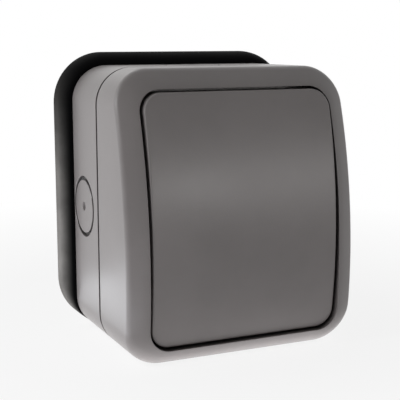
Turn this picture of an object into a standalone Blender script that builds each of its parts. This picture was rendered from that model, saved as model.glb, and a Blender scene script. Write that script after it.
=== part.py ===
"""Surface mounted rocker light switch: housing, rocker and the change-over mechanism inside.

The wall is the plane y = 0 and the front faces -Y. A depth is a distance from the wall.
The origin is the middle of the face that lies on the wall.
"""
import bpy
import bmesh
from math import cos, pi, radians, sin, sqrt
from mathutils import Matrix, Vector

MM = 0.001

# Gap between pieces that touch or run on each other
GAP = 0.3 * MM

# Outline of the box and its cover, seen from the front
BODY_WIDTH = 80.1 * MM
BODY_HEIGHT = 92.0 * MM
BODY_CORNER = 12.0 * MM

# Rubber collar between the box and the wall
COLLAR_DEPTH = 9.0 * MM
COLLAR_EDGE_DEPTH = 1.3 * MM
COLLAR_SIDE_LIP = 4.2 * MM
COLLAR_TOP_LIP = 4.4 * MM
COLLAR_BOTTOM_LIP = -0.4 * MM
COLLAR_CORNER = 17.3 * MM
COLLAR_BACK_ROUNDING = 0.5 * MM
SPIGOT_STEP = 3.0 * MM
SPIGOT_WALL = 2.6 * MM

# Back box
SEAM_DEPTH = 34.2 * MM
BOX_WALL = 3.0 * MM
BOX_FLOOR = 3.0 * MM
RIM_LIP = 1.3 * MM
RIM_REBATE = 2.0 * MM
LEDGE_SLOPE = 1.0 * MM
KNOCKOUT_DEPTH = COLLAR_DEPTH + 10.5 * MM
KNOCKOUT_RADIUS = 10.2 * MM
KNOCKOUT_DROP = 0.5 * MM
KNOCKOUT_GROOVE = 0.9 * MM
KNOCKOUT_GROOVE_CUT = 1.0 * MM
DIMPLE_RADIUS = 1.5 * MM
DIMPLE_CUT = 0.7 * MM
REAR_KNOCKOUT_Z = 15.0 * MM
FIXING_SLOT_RADIUS = 2.2 * MM
FIXING_SLOT_LENGTH = 9.0 * MM
FIXING_SLOT_STEP = 14.0 * MM

# Cover screws and the brass inserts that they hold in
COVER_SCREW_SIDE = 14.05 * MM
COVER_SCREW_END = 14.0 * MM
COVER_SCREW_X = BODY_WIDTH / 2 - COVER_SCREW_SIDE
COVER_SCREW_Z = BODY_HEIGHT / 2 - COVER_SCREW_END
FIXING_SLOT_X = COVER_SCREW_X
FIXING_SLOT_Z = COVER_SCREW_Z - FIXING_SLOT_STEP
COVER_SCREW_RADIUS = 1.7 * MM
COVER_SCREW_HEAD = 3.3 * MM
COVER_SCREW_HEAD_HEIGHT = 2.0 * MM
COVER_SCREW_LENGTH = 21.5 * MM
BOSS_RADIUS = 4.3 * MM
BOSS_BELOW_SEAM = 4.2 * MM
BOSS_DEPTH = SEAM_DEPTH - BOSS_BELOW_SEAM
BOSS_RIB = 1.6 * MM
BOSS_ABOVE_RIB = 6.0 * MM
BOSS_RIB_DEPTH = BOSS_DEPTH - BOSS_ABOVE_RIB
INSERT_RADIUS = 2.7 * MM
INSERT_LENGTH = 9.0 * MM
INSERT_GROOVE = 0.4 * MM

# Curved front: one arc seen from the side
FRONT_RADIUS = 171.5 * MM
CROWN_Z = -18.0 * MM
COVER_DEPTH = 28.7 * MM
CROWN_DEPTH = SEAM_DEPTH + COVER_DEPTH

# Front cover
COVER_WALL = 2.6 * MM
BEZEL_THICKNESS = 2.4 * MM
BEZEL_DROP = 3.0 * MM
BEZEL_BULGE = 1.3
EDGE_ROUNDING = 1.3 * MM
BOTTOM_ROUNDING = 4.2 * MM
BOTTOM_ROUNDING_REACH = 15.0 * MM
BEZEL_SIDE = 6.65 * MM
BEZEL_TOP = 6.3 * MM
BEZEL_BOTTOM = 5.5 * MM
APERTURE_WIDTH = BODY_WIDTH - 2 * BEZEL_SIDE
APERTURE_HEIGHT = BODY_HEIGHT - BEZEL_TOP - BEZEL_BOTTOM
APERTURE_CORNER = 7.1 * MM
APERTURE_Z = (BEZEL_BOTTOM - BEZEL_TOP) / 2
APERTURE_EDGE = 0.3 * MM
APERTURE_WALL = 1.8 * MM
PIVOT_BELOW_CROWN = 8.9 * MM
PIVOT_DEPTH = CROWN_DEPTH - PIVOT_BELOW_CROWN
PAN_BELOW_PIVOT = 10.5 * MM
PAN_DEPTH = PIVOT_DEPTH - PAN_BELOW_PIVOT
PAN_THICKNESS = 2.5 * MM
WINDOW_WIDTH = 16.0 * MM
WINDOW_HEIGHT = 12.0 * MM

# Rocker and its bearings
ROCKER_GAP = 1.1 * MM
ROCKER_WALL = 2.2 * MM
SKIRT_CLEARANCE = 4.0 * MM
ROCKER_SKIRT_DEPTH = PAN_DEPTH + SKIRT_CLEARANCE
ROCKER_EDGE = 0.6 * MM
ROCKER_RIB = 1.3 * MM
ROCKER_RIB_X = 13.0 * MM
ROCKER_RIB_HEIGHT = 3.5 * MM
ROCKER_RIB_INSET = 5.1 * MM
ROCKER_RIB_REACH = APERTURE_HEIGHT / 2 - ROCKER_RIB_INSET
HALF_TILT = 2.4
PIVOT_PIN_RADIUS = 1.5 * MM
EAR_INSET = 9.7 * MM
EAR_X = APERTURE_WIDTH / 2 - EAR_INSET
EAR_THICKNESS = 2.6 * MM
EAR_HALF_HEIGHT = 4.0 * MM
LUG_WIDTH = 3.9 * MM
PIVOT_PIN_LENGTH = EAR_THICKNESS + LUG_WIDTH - GAP
LUG_HALF_HEIGHT = 3.3 * MM
BLADE_WIDTH = 8.0 * MM
BLADE_THICKNESS = 2.0 * MM
BLADE_REACH = 14.0 * MM

# Rubber boot round the drive blade
BOOT_MARGIN = 3.5 * MM
BOOT_FLANGE_WIDTH = WINDOW_WIDTH + 2 * BOOT_MARGIN
BOOT_FLANGE_HEIGHT = WINDOW_HEIGHT + 2 * BOOT_MARGIN
BOOT_CORNER = 4.5 * MM
BOOT_WALL = 1.1 * MM
BOOT_RISE = 5.2 * MM
BOOT_NECK = 1.6 * MM

# Change-over mechanism
DOLLY_RATIO = 3.5
DOLLY_ARM = BLADE_REACH / DOLLY_RATIO
DOLLY_DEPTH = PIVOT_DEPTH - BLADE_REACH - DOLLY_ARM
DOLLY_HUB_RADIUS = 3.0 * MM
DOLLY_HUB_WIDTH = 10.4 * MM
DOLLY_PIN_RADIUS = 1.2 * MM
LID_EAR = 2.5 * MM
DOLLY_PIN_LENGTH = DOLLY_HUB_WIDTH + 2 * (LID_EAR + 2 * GAP)
FORK_SLOT = 3.4 * MM
FORK_PRONG = 1.6 * MM
FORK_WIDTH = 7.2 * MM
FORK_TIP = 1.8 * MM
FORK_CHAMFER = 0.4 * MM
FORK_FLOOR = 0.7 * MM
PLUNGER_RADIUS = 1.6 * MM
PLUNGER_TIP_RADIUS = 1.2 * MM
PLUNGER_BODY = 2.5 * MM
SWING_ARM = 9.5 * MM
PLUNGER_SHOW = 2.8 * MM
TUBE_LENGTH = SWING_ARM - PLUNGER_SHOW
BORE_CEILING = 1.8 * MM
SPRING_WIRE = 0.2 * MM
SPRING_TURNS = 4
CONTACT_RATIO = 2.0
CONTACT_THICKNESS = 1.0 * MM
CONTACT_WIDTH = 6.0 * MM
TIP_RADIUS = 1.8 * MM
TIP_HEIGHT = 0.8 * MM
RIVET_RADIUS = 0.8 * MM
BUSBAR = 1.0 * MM
BUSBAR_WIDTH = 5.0 * MM

# Terminals: brass blocks with a wire hole and a clamping screw
TERMINAL_SIZE = 6.6 * MM
TERMINAL_HEIGHT = 8.0 * MM
WIRE_HOLE_RADIUS = 1.6 * MM
WIRE_HOLE_RISE = 2.7 * MM
TERMINAL_SCREW_RADIUS = 1.5 * MM
TERMINAL_SCREW_HEAD = 2.3 * MM
TERMINAL_SCREW_HEAD_HEIGHT = 1.8 * MM
SLOT_WIDTH = 0.8 * MM

# Mechanism base and lid
BASE_BELOW_DOLLY = 4.0 * MM
BASE_FRONT = DOLLY_DEPTH - BASE_BELOW_DOLLY
BASE_THICKNESS = 16.5 * MM
BASE_BACK = BASE_FRONT - BASE_THICKNESS
BASE_WIDTH = 18.0 * MM
BASE_HEIGHT = 51.0 * MM
BASE_FLOOR = 2.0 * MM
TERMINAL_INSET = 5.2 * MM
TERMINAL_Z = BASE_HEIGHT / 2 - TERMINAL_INSET
COMMON_STEP = 4.0 * MM
COMMON_X = BASE_WIDTH / 2 + COMMON_STEP
CAVITY_WIDTH = 11.0 * MM
CAVITY_WALL = 1.7 * MM
CAVITY_HEIGHT = 2 * (TERMINAL_Z - TERMINAL_SIZE / 2 - GAP - CAVITY_WALL)
CONTACT_INSET = 2.2 * MM
CONTACT_HALF_LENGTH = CAVITY_HEIGHT / 2 - CONTACT_INSET
TIP_INSET = 2.3 * MM
TIP_Z = CONTACT_HALF_LENGTH - TIP_INSET
LOBE_WALL = 1.6 * MM
LOBE_STEP = 2.0 * MM
FOOT_WIDTH = 10.0 * MM
FOOT_THICKNESS = 3.5 * MM
FOOT_STEP = 4.0 * MM
POST_Z = BASE_HEIGHT / 2 + FOOT_STEP
POST_RADIUS = 4.0 * MM
LID_THICKNESS = 2.5 * MM
LID_OVERLAP = 1.0 * MM
LID_HEIGHT = CAVITY_HEIGHT + 2 * LID_OVERLAP
LID_WINDOW_HEIGHT = 10.6 * MM
CLIP_THICKNESS = 1.3 * MM
CLIP_WIDTH = 3.0 * MM
CLIP_INSET = 4.5 * MM
CLIP_Z = LID_HEIGHT / 2 - CLIP_INSET
CLIP_REACH = 6.0 * MM
CLIP_CATCH = 0.9 * MM
CATCH_HEIGHT = 1.5 * MM

# Mechanism screws, and the parking terminal for earth wires
MECHANISM_SCREW_RADIUS = 1.45 * MM
MECHANISM_SCREW_HEAD = 2.9 * MM
MECHANISM_SCREW_HEAD_HEIGHT = 2.0 * MM
MECHANISM_SCREW_LENGTH = 10.0 * MM
EARTH_X = (COVER_SCREW_X - BOSS_RADIUS + FOOT_WIDTH / 2) / 2
EARTH_INSET = 10.7 * MM
EARTH_Z = EARTH_INSET - BODY_HEIGHT / 2
EARTH_POST_DEPTH = 8.0 * MM

# Fineness of the round shapes
CORNER_STEPS = 8
SIDE_STEPS = 7
ROUND_STEPS = 24
SMALL_STEPS = 16
TUBE_STEPS = 20
SLOT_STEPS = 5


def clear_scene():
    for old in list(bpy.data.objects):
        bpy.data.objects.remove(old, do_unlink=True)


def material(name, colour, roughness, metallic=0.0):
    made = bpy.data.materials.new(name)
    made.use_nodes = True
    shader = made.node_tree.nodes["Principled BSDF"]
    shader.inputs["Base Color"].default_value = (*colour, 1.0)
    shader.inputs["Roughness"].default_value = roughness
    shader.inputs["Metallic"].default_value = metallic
    return made


def make_object(name, bm):
    """Turn a bmesh into an object with its faces pointing out."""
    bmesh.ops.recalc_face_normals(bm, faces=bm.faces)
    mesh = bpy.data.meshes.new(name)
    bm.to_mesh(mesh)
    bm.free()
    made = bpy.data.objects.new(name, mesh)
    bpy.context.scene.collection.objects.link(made)
    return made


def finish(piece, paint):
    """Give a piece its material, and smooth shading between its sharp edges."""
    piece.data.materials.clear()
    piece.data.materials.append(paint)
    piece.data.shade_smooth()
    piece.data.set_sharp_from_angle(angle=radians(32))
    return piece


def combine(piece, tools, operation):
    """Join tools to a piece or cut them from it, and delete the tools."""
    for tool in tools:
        step = piece.modifiers.new(operation.lower(), "BOOLEAN")
        step.operation = operation
        step.object = tool
        step.solver = "EXACT"
    bpy.context.view_layer.update()
    result = piece.evaluated_get(bpy.context.evaluated_depsgraph_get())
    mesh = bpy.data.meshes.new_from_object(result)
    piece.modifiers.clear()
    piece.data = mesh
    for tool in tools:
        bpy.data.objects.remove(tool, do_unlink=True)
    return piece


def join(piece, *tools):
    return combine(piece, tools, "UNION")


def cut(piece, *tools):
    return combine(piece, tools, "DIFFERENCE")


class Outline:
    """A rounded rectangle seen from the front."""

    def __init__(self, width, height, radius, centre_z=0.0, sides=SIDE_STEPS, corners=CORNER_STEPS):
        self.width = width
        self.height = height
        self.radius = radius
        self.centre_z = centre_z
        self.sides = sides
        self.corners = corners

    def grown(self, by):
        radius = max(self.radius + by, 0.2 * MM)
        return Outline(self.width + 2 * by, self.height + 2 * by, radius, self.centre_z,
                       self.sides, self.corners)

    def points(self):
        """The right half from bottom to top, then its mirror image from top to bottom."""
        half_x = self.width / 2 - self.radius
        half_z = self.height / 2 - self.radius
        right = []
        for end, start_angle in ((-1, -pi / 2), (1, 0.0)):
            for k in range(self.corners + 1):
                angle = start_angle + pi / 2 * k / self.corners
                right.append((half_x + self.radius * cos(angle),
                              self.centre_z + end * half_z + self.radius * sin(angle)))
            if end < 0:
                for k in range(1, self.sides):
                    height = -half_z + 2 * half_z * k / self.sides
                    right.append((self.width / 2, self.centre_z + height))
        return right + [(-x, z) for x, z in reversed(right)]


def at_depth(points, depth):
    """Lift outline points off the wall, by one depth or by a rule that gives it from z."""
    if callable(depth):
        return [Vector((x, -depth(z), z)) for x, z in points]
    return [Vector((x, -depth, z)) for x, z in points]


def blend(first, second, share):
    return [(a[0] + (b[0] - a[0]) * share, a[1] + (b[1] - a[1]) * share)
            for a, b in zip(first, second)]


def loft(name, rings, closed=False):
    """Skin a row of rings. Open ends are capped with strips that run from side to side."""
    bm = bmesh.new()
    rows = [[bm.verts.new(point) for point in ring] for ring in rings]
    count = len(rows[0])
    pairs = list(zip(rows, rows[1:]))
    if closed:
        pairs.append((rows[-1], rows[0]))
    for lower, upper in pairs:
        for k in range(count):
            after = (k + 1) % count
            bm.faces.new((lower[k], lower[after], upper[after], upper[k]))
    if not closed:
        for row in (rows[0], rows[-1]):
            for k in range(count // 2 - 1):
                bm.faces.new((row[k], row[k + 1], row[count - 2 - k], row[count - 1 - k]))
    return make_object(name, bm)


def block(name, low, high):
    """A box between two corners given as x, depth, z."""
    bm = bmesh.new()
    bmesh.ops.create_cube(bm, size=1.0)
    size = [abs(b - a) for a, b in zip(low, high)]
    middle = [(a + b) / 2 for a, b in zip(low, high)]
    place = Matrix.Translation((middle[0], -middle[1], middle[2]))
    bm.transform(place @ Matrix.Diagonal((*size, 1.0)))
    return make_object(name, bm)


def plate(name, profile, x_from, x_to):
    """Extrude a profile of depth and z points along x."""
    bm = bmesh.new()
    near = [bm.verts.new((x_from, -depth, z)) for depth, z in profile]
    far = [bm.verts.new((x_to, -depth, z)) for depth, z in profile]
    bm.faces.new(near)
    bm.faces.new(far)
    for k in range(len(profile)):
        after = (k + 1) % len(profile)
        bm.faces.new((near[k], near[after], far[after], far[k]))
    return make_object(name, bm)


def tab_profile(back, axis_depth, half_height, steps=8, centre_z=0.0):
    """A tab that stands on a depth and ends in a half round about an axis."""
    points = [(back, centre_z - half_height)]
    toward = 1 if axis_depth > back else -1
    for k in range(steps + 1):
        angle = -pi / 2 + pi * k / steps
        points.append((axis_depth + toward * half_height * cos(angle),
                       centre_z + half_height * sin(angle)))
    points.append((back, centre_z + half_height))
    return points


def turned(name, profile, steps=ROUND_STEPS):
    """Spin a profile of radius and depth points about the depth axis through the origin."""
    bm = bmesh.new()
    rings = []
    for radius, depth in profile:
        if radius == 0:
            rings.append([bm.verts.new((0.0, -depth, 0.0))])
            continue
        rings.append([bm.verts.new((radius * cos(2 * pi * k / steps), -depth,
                                    radius * sin(2 * pi * k / steps))) for k in range(steps)])
    for lower, upper in zip(rings, rings[1:]):
        for k in range(steps):
            after = (k + 1) % steps
            corners = [lower[k % len(lower)], lower[after % len(lower)],
                       upper[after % len(upper)], upper[k % len(upper)]]
            face = list(dict.fromkeys(corners))
            bm.faces.new(face)
    for ring in (rings[0], rings[-1]):
        if len(ring) > 1:
            bm.faces.new(ring)
    return make_object(name, bm)


def placed(piece, x, z, depth=0.0):
    """Bake a shift into a piece's mesh."""
    piece.data.transform(Matrix.Translation((x, -depth, z)))
    return piece


def drum(name, radius, low, high, x=0.0, z=0.0, steps=ROUND_STEPS):
    """A plain cylinder along the depth."""
    return placed(turned(name, [(radius, low), (radius, high)], steps), x, z)


def axle(name, radius, x_from, x_to, depth, z, steps=ROUND_STEPS):
    """A plain cylinder along x."""
    made = turned(name, [(radius, 0.0), (radius, x_to - x_from)], steps)
    made.data.transform(Matrix.Rotation(-pi / 2, 4, "Z"))
    made.data.transform(Matrix.Translation((x_from, -depth, z)))
    middle = sum((v.co.x for v in made.data.vertices), 0.0) / len(made.data.vertices)
    made.data.transform(Matrix.Translation(((x_from + x_to) / 2 - middle, 0, 0)))
    return made


def front_depth(z):
    """Depth of the curved front at a height."""
    return CROWN_DEPTH - FRONT_RADIUS + sqrt(FRONT_RADIUS ** 2 - (z - CROWN_Z) ** 2)


def body_outline():
    return Outline(BODY_WIDTH, BODY_HEIGHT, BODY_CORNER)


def aperture_outline():
    return Outline(APERTURE_WIDTH, APERTURE_HEIGHT, APERTURE_CORNER, APERTURE_Z)


def collar_outline():
    height = BODY_HEIGHT + COLLAR_TOP_LIP + COLLAR_BOTTOM_LIP
    centre_z = (COLLAR_TOP_LIP - COLLAR_BOTTOM_LIP) / 2
    return Outline(BODY_WIDTH + 2 * COLLAR_SIDE_LIP, height, COLLAR_CORNER, centre_z)


def wall_seal(paint):
    """Rubber collar: it swells from the box's side out to a lip near the wall."""
    inner = body_outline().grown(GAP - SPIGOT_STEP).points()
    near = body_outline().points()
    far = collar_outline().points()
    back = collar_outline().grown(-COLLAR_BACK_ROUNDING).points()
    top = COLLAR_DEPTH - GAP
    rings = [at_depth(inner, 0.0), at_depth(inner, top)]
    steps = 5
    for k in range(steps + 1):
        angle = pi / 2 * k / steps
        depth = top - (top - COLLAR_EDGE_DEPTH) * (1 - cos(angle))
        rings.append(at_depth(blend(near, far, sin(angle)), depth))
    rings.append(at_depth(back, 0.0))
    return finish(loft("wall_seal", rings, closed=True), paint)


def ring_groove(radius, width, cut_depth, reach):
    """A tube shaped cutter along the depth that bites from depth 0 and sticks out behind it."""
    outer = turned("groove_outer", [(radius, -reach), (radius, cut_depth)])
    inner = turned("groove_inner", [(radius - width, -2 * reach), (radius - width, 2 * cut_depth)])
    return cut(outer, inner)


def knockout_cutters():
    """Ring and centre dimple on all four sides and on the back."""
    reach = 1.0 * MM
    places = []
    for angle in (pi / 2, -pi / 2, 0.0, pi):
        half = BODY_WIDTH / 2 if angle in (pi / 2, -pi / 2) else BODY_HEIGHT / 2
        turn = Matrix.Rotation(angle, 4, "Y") @ Matrix.Rotation(-pi / 2, 4, "X")
        drop = -KNOCKOUT_DROP if half == BODY_WIDTH / 2 else 0.0
        out = turn @ Vector((0, 1, 0))
        places.append(Matrix.Translation((out.x * half, -KNOCKOUT_DEPTH, out.z * half + drop)) @ turn)
    places.append(Matrix.Translation((0, 0, REAR_KNOCKOUT_Z)))
    cutters = []
    for place in places:
        ring = ring_groove(KNOCKOUT_RADIUS, KNOCKOUT_GROOVE, KNOCKOUT_GROOVE_CUT, reach)
        dimple = turned("dimple", [(DIMPLE_RADIUS, -reach), (DIMPLE_RADIUS, 0.0), (0, DIMPLE_CUT)],
                        SMALL_STEPS)
        for cutter in (ring, dimple):
            cutter.data.transform(place)
            cutters.append(cutter)
    return cutters


def cover_screw_places():
    return [(x * COVER_SCREW_X, z * COVER_SCREW_Z) for z in (1, -1) for x in (-1, 1)]


def post_heights():
    return [APERTURE_Z + side * POST_Z for side in (1, -1)]


def boss_ribs(x, z, root):
    """Two ribs from a screw boss to the walls, stepped where the spigot narrows the box."""
    side_x = 1 if x > 0 else -1
    side_z = 1 if z > 0 else -1
    half = BOSS_RIB / 2
    ribs = []
    low_run = (SPIGOT_STEP + SPIGOT_WALL / 2, root)
    high_run = (BOX_WALL / 2, COLLAR_DEPTH + BOX_WALL / 2)
    for inward, start in (low_run, high_run):
        low, high = sorted((x, side_x * (BODY_WIDTH / 2 - inward)))
        ribs.append(block("rib", (low, start, z - half), (high, BOSS_RIB_DEPTH, z + half)))
        low, high = sorted((z, side_z * (BODY_HEIGHT / 2 - inward)))
        ribs.append(block("rib", (x - half, start, low), (x + half, BOSS_RIB_DEPTH, high)))
    return ribs


def fixing_slot_cutter(x, z):
    slot = Outline(2 * FIXING_SLOT_RADIUS, FIXING_SLOT_LENGTH, FIXING_SLOT_RADIUS - 0.01 * MM,
                   sides=1, corners=SLOT_STEPS)
    points = slot.points()
    return placed(loft("slot", [at_depth(points, -1 * MM), at_depth(points, 2 * BOX_FLOOR)]), x, z)


def back_box(paint):
    """Box with a stepped spigot for the collar, a rebated rim, bosses, posts and knockouts."""
    body = body_outline()
    spigot = body.grown(-SPIGOT_STEP).points()
    outer = body.points()
    lip = body.grown(-RIM_LIP).points()
    wall = body.grown(-BOX_WALL).points()
    low_wall = body.grown(-SPIGOT_STEP - SPIGOT_WALL).points()
    rebate = SEAM_DEPTH - RIM_REBATE
    ledge = COLLAR_DEPTH + BOX_WALL
    box = loft("back_box", [
        at_depth(spigot, 0.0), at_depth(spigot, COLLAR_DEPTH), at_depth(outer, COLLAR_DEPTH),
        at_depth(outer, SEAM_DEPTH), at_depth(lip, SEAM_DEPTH), at_depth(lip, rebate),
        at_depth(wall, rebate), at_depth(wall, ledge), at_depth(low_wall, ledge - LEDGE_SLOPE),
        at_depth(low_wall, BOX_FLOOR)])
    root = BOX_FLOOR / 2
    additions = []
    for x, z in cover_screw_places():
        additions.append(drum("boss", BOSS_RADIUS, root, BOSS_DEPTH, x, z, SMALL_STEPS))
        additions += boss_ribs(x, z, root)
    for z in post_heights():
        additions.append(drum("post", POST_RADIUS, root, BASE_BACK - GAP, 0.0, z, SMALL_STEPS))
    additions.append(drum("earth_post", TERMINAL_SIZE / 2 + 0.6 * MM, root, EARTH_POST_DEPTH,
                          EARTH_X, EARTH_Z, SMALL_STEPS))
    join(box, *additions)
    cutters = knockout_cutters()
    for x, z in cover_screw_places():
        bottom = BOSS_DEPTH - INSERT_LENGTH - 2 * GAP
        cutters.append(drum("insert_hole", INSERT_RADIUS + GAP, bottom, BOSS_DEPTH + MM, x, z, SMALL_STEPS))
        screw_end = PAN_DEPTH + GAP - COVER_SCREW_LENGTH - MM
        cutters.append(drum("screw_way", COVER_SCREW_RADIUS + GAP, screw_end, BOSS_DEPTH, x, z,
                            SMALL_STEPS - 2))
        cutters.append(fixing_slot_cutter((1 if x > 0 else -1) * FIXING_SLOT_X,
                                          (1 if z > 0 else -1) * FIXING_SLOT_Z))
    for z in post_heights():
        hole_end = BASE_BACK + FOOT_THICKNESS + GAP - MECHANISM_SCREW_LENGTH - MM
        cutters.append(drum("post_hole", MECHANISM_SCREW_RADIUS + GAP, hole_end, BASE_BACK + MM,
                            0.0, z, SMALL_STEPS - 2))
    cut(box, *cutters)
    return finish(box, paint)


def cover_seal(paint):
    """Rubber ring in the rebate of the box's rim."""
    body = body_outline()
    outer = body.grown(-RIM_LIP - GAP).points()
    inner = body.grown(-BOX_WALL + GAP).points()
    low = SEAM_DEPTH - RIM_REBATE + GAP
    rings = [at_depth(outer, low), at_depth(outer, SEAM_DEPTH),
             at_depth(inner, SEAM_DEPTH), at_depth(inner, low)]
    return finish(loft("cover_seal", rings, closed=True), paint)


def edge_rounding(z):
    """The crease is crisp at the sides and the top, and grows rounder along the bottom."""
    share = 1 - (z + BODY_HEIGHT / 2) / BOTTOM_ROUNDING_REACH
    share = min(max(share, 0.0), 1.0)
    share = share * share * (3 - 2 * share)
    return EDGE_ROUNDING + (BOTTOM_ROUNDING - EDGE_ROUNDING) * share


def bezel_depth(share, z):
    """Depth of the bezel, from the side (share 0) to the rocker's opening (share 1)."""
    return front_depth(z) - BEZEL_DROP * (1 - share) ** BEZEL_BULGE


def crease_ring(step, outer, opening):
    """One ring of the rounded edge between the flat side and the bezel."""
    ring = []
    for (x, z), (inner_x, inner_z) in zip(outer, opening):
        rounding = edge_rounding(z)
        crease = bezel_depth(0.0, z)
        end_share = rounding / BEZEL_SIDE
        end = bezel_depth(end_share, z + (inner_z - z) * end_share)
        share = end_share * step * step
        depth = ((1 - step) ** 2 * (crease - rounding) + 2 * step * (1 - step) * crease + step * step * end)
        ring.append(Vector((x + (inner_x - x) * share, -depth, z + (inner_z - z) * share)))
    return ring


def front_cover(paint):
    """Skirt, rounded bezel and the pan under the rocker, moulded as one shell."""
    body = body_outline()
    outer = body.points()
    opening = aperture_outline().points()
    opening_back = aperture_outline().grown(APERTURE_WALL).points()
    rim = SEAM_DEPTH + GAP
    inner_rim = body.grown(-BOX_WALL).points()
    inner_skirt = body.grown(-COVER_WALL).points()
    pan_back = PAN_DEPTH - PAN_THICKNESS
    rings = [
        at_depth(opening_back, pan_back),
        at_depth(opening_back, lambda z: front_depth(z) - BEZEL_THICKNESS),
        at_depth(inner_skirt, lambda z: bezel_depth(0.0, z) - BEZEL_THICKNESS - edge_rounding(z) / 3),
        at_depth(inner_rim, rim),
        at_depth(outer, rim)]
    rings += [crease_ring(step / 3, outer, opening) for step in range(4)]
    for share in (0.72, 0.95):
        points = blend(outer, opening, share)
        rings.append([Vector((x, -bezel_depth(share, z), z)) for x, z in points])
    rings.append(at_depth(opening, lambda z: front_depth(z) - APERTURE_EDGE))
    rings.append(at_depth(opening, PAN_DEPTH))
    cover = loft("front_cover", rings)
    additions = [drum("pillar", BOSS_RADIUS, BOSS_DEPTH + GAP, PAN_DEPTH - MM, x, z, SMALL_STEPS)
                 for x, z in cover_screw_places()]
    ear = tab_profile(PAN_DEPTH - MM, PIVOT_DEPTH, EAR_HALF_HEIGHT, centre_z=APERTURE_Z)
    for side in (-1, 1):
        low = side * EAR_X if side > 0 else side * (EAR_X + EAR_THICKNESS)
        additions.append(plate("ear", ear, low, low + EAR_THICKNESS))
    join(cover, *additions)
    cutters = [block("window", (-WINDOW_WIDTH / 2, pan_back - MM, APERTURE_Z - WINDOW_HEIGHT / 2),
                     (WINDOW_WIDTH / 2, PAN_DEPTH + MM, APERTURE_Z + WINDOW_HEIGHT / 2))]
    for x, z in cover_screw_places():
        cutters.append(drum("screw_hole", COVER_SCREW_RADIUS + GAP, BOSS_DEPTH - MM, PAN_DEPTH + MM,
                            x, z, SMALL_STEPS))
    for side in (-1, 1):
        reach = EAR_X + EAR_THICKNESS + MM
        low, high = sorted((side * (EAR_X - MM), side * reach))
        cutters.append(axle("bearing", PIVOT_PIN_RADIUS + GAP, low, high, PIVOT_DEPTH, APERTURE_Z,
                            SMALL_STEPS))
    cut(cover, *cutters)
    return finish(cover, paint)


def rocker(paint, axis):
    """Curved button with a deep skirt, bearing lugs, stiffening ribs and the drive blade."""
    outline = aperture_outline().grown(-ROCKER_GAP)
    edge = ROCKER_EDGE
    inner = outline.grown(-ROCKER_WALL).points()
    rings = [at_depth(outline.grown(-edge).points(), front_depth),
             at_depth(outline.grown(-edge * 0.3).points(), lambda z: front_depth(z) - edge * 0.3),
             at_depth(outline.points(), lambda z: front_depth(z) - edge),
             at_depth(outline.points(), ROCKER_SKIRT_DEPTH),
             at_depth(inner, ROCKER_SKIRT_DEPTH),
             at_depth(inner, lambda z: front_depth(z) - ROCKER_WALL)]
    button = loft("rocker", rings)
    inside = front_depth(APERTURE_Z) - ROCKER_WALL / 2
    lug = tab_profile(inside, PIVOT_DEPTH, LUG_HALF_HEIGHT, centre_z=APERTURE_Z)
    additions = []
    lug_start = EAR_X + EAR_THICKNESS + GAP
    for side in (-1, 1):
        low, high = sorted((side * lug_start, side * (lug_start + LUG_WIDTH)))
        additions.append(plate("lug", lug, low, high))
    rib_steps = 8
    for side in (-1, 1):
        heights = [APERTURE_Z + ROCKER_RIB_REACH * (2 * k / rib_steps - 1) for k in range(rib_steps + 1)]
        rib = [(front_depth(z) - ROCKER_WALL / 2, z) for z in heights]
        rib += [(front_depth(z) - ROCKER_WALL - ROCKER_RIB_HEIGHT, z) for z in reversed(heights)]
        middle = side * ROCKER_RIB_X
        additions.append(plate("rib", rib, middle - ROCKER_RIB / 2, middle + ROCKER_RIB / 2))
    tip = PIVOT_DEPTH - BLADE_REACH
    half = BLADE_THICKNESS / 2
    blade = [(inside, APERTURE_Z - 2 * half), (inside - 3 * half, APERTURE_Z - half),
             (tip + half / 2, APERTURE_Z - half), (tip, APERTURE_Z - half / 2),
             (tip, APERTURE_Z + half / 2), (tip + half / 2, APERTURE_Z + half),
             (inside - 3 * half, APERTURE_Z + half), (inside, APERTURE_Z + 2 * half)]
    additions.append(plate("blade", blade, -BLADE_WIDTH / 2, BLADE_WIDTH / 2))
    join(button, *additions)
    cutters = []
    for side in (-1, 1):
        low, high = sorted((side * (lug_start - MM), side * (EAR_X - GAP + PIVOT_PIN_LENGTH + 2 * GAP)))
        cutters.append(axle("bearing", PIVOT_PIN_RADIUS + GAP, low, high, PIVOT_DEPTH, APERTURE_Z,
                            SMALL_STEPS))
    cut(button, *cutters)
    hang_on(button, axis)
    return finish(button, paint)


def axis_empty(name, depth, z, tilt):
    """An empty on a hinge line along x, turned to the rest position."""
    made = bpy.data.objects.new(name, None)
    bpy.context.scene.collection.objects.link(made)
    made.location = (0.0, -depth, z)
    made.rotation_euler = (radians(tilt), 0.0, 0.0)
    return made


def hang_on(piece, axis):
    """Hang a piece, modelled in its middle position, on the empty of its axis."""
    piece.data.transform(Matrix.Translation(-axis.location))
    piece.parent = axis
    return piece


def pivot_pin(name, side, paint):
    low, high = sorted((side * (EAR_X - GAP), side * (EAR_X - GAP + PIVOT_PIN_LENGTH)))
    pin = axle(name, PIVOT_PIN_RADIUS, low, high, PIVOT_DEPTH, APERTURE_Z, SMALL_STEPS)
    return finish(pin, paint)


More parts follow.
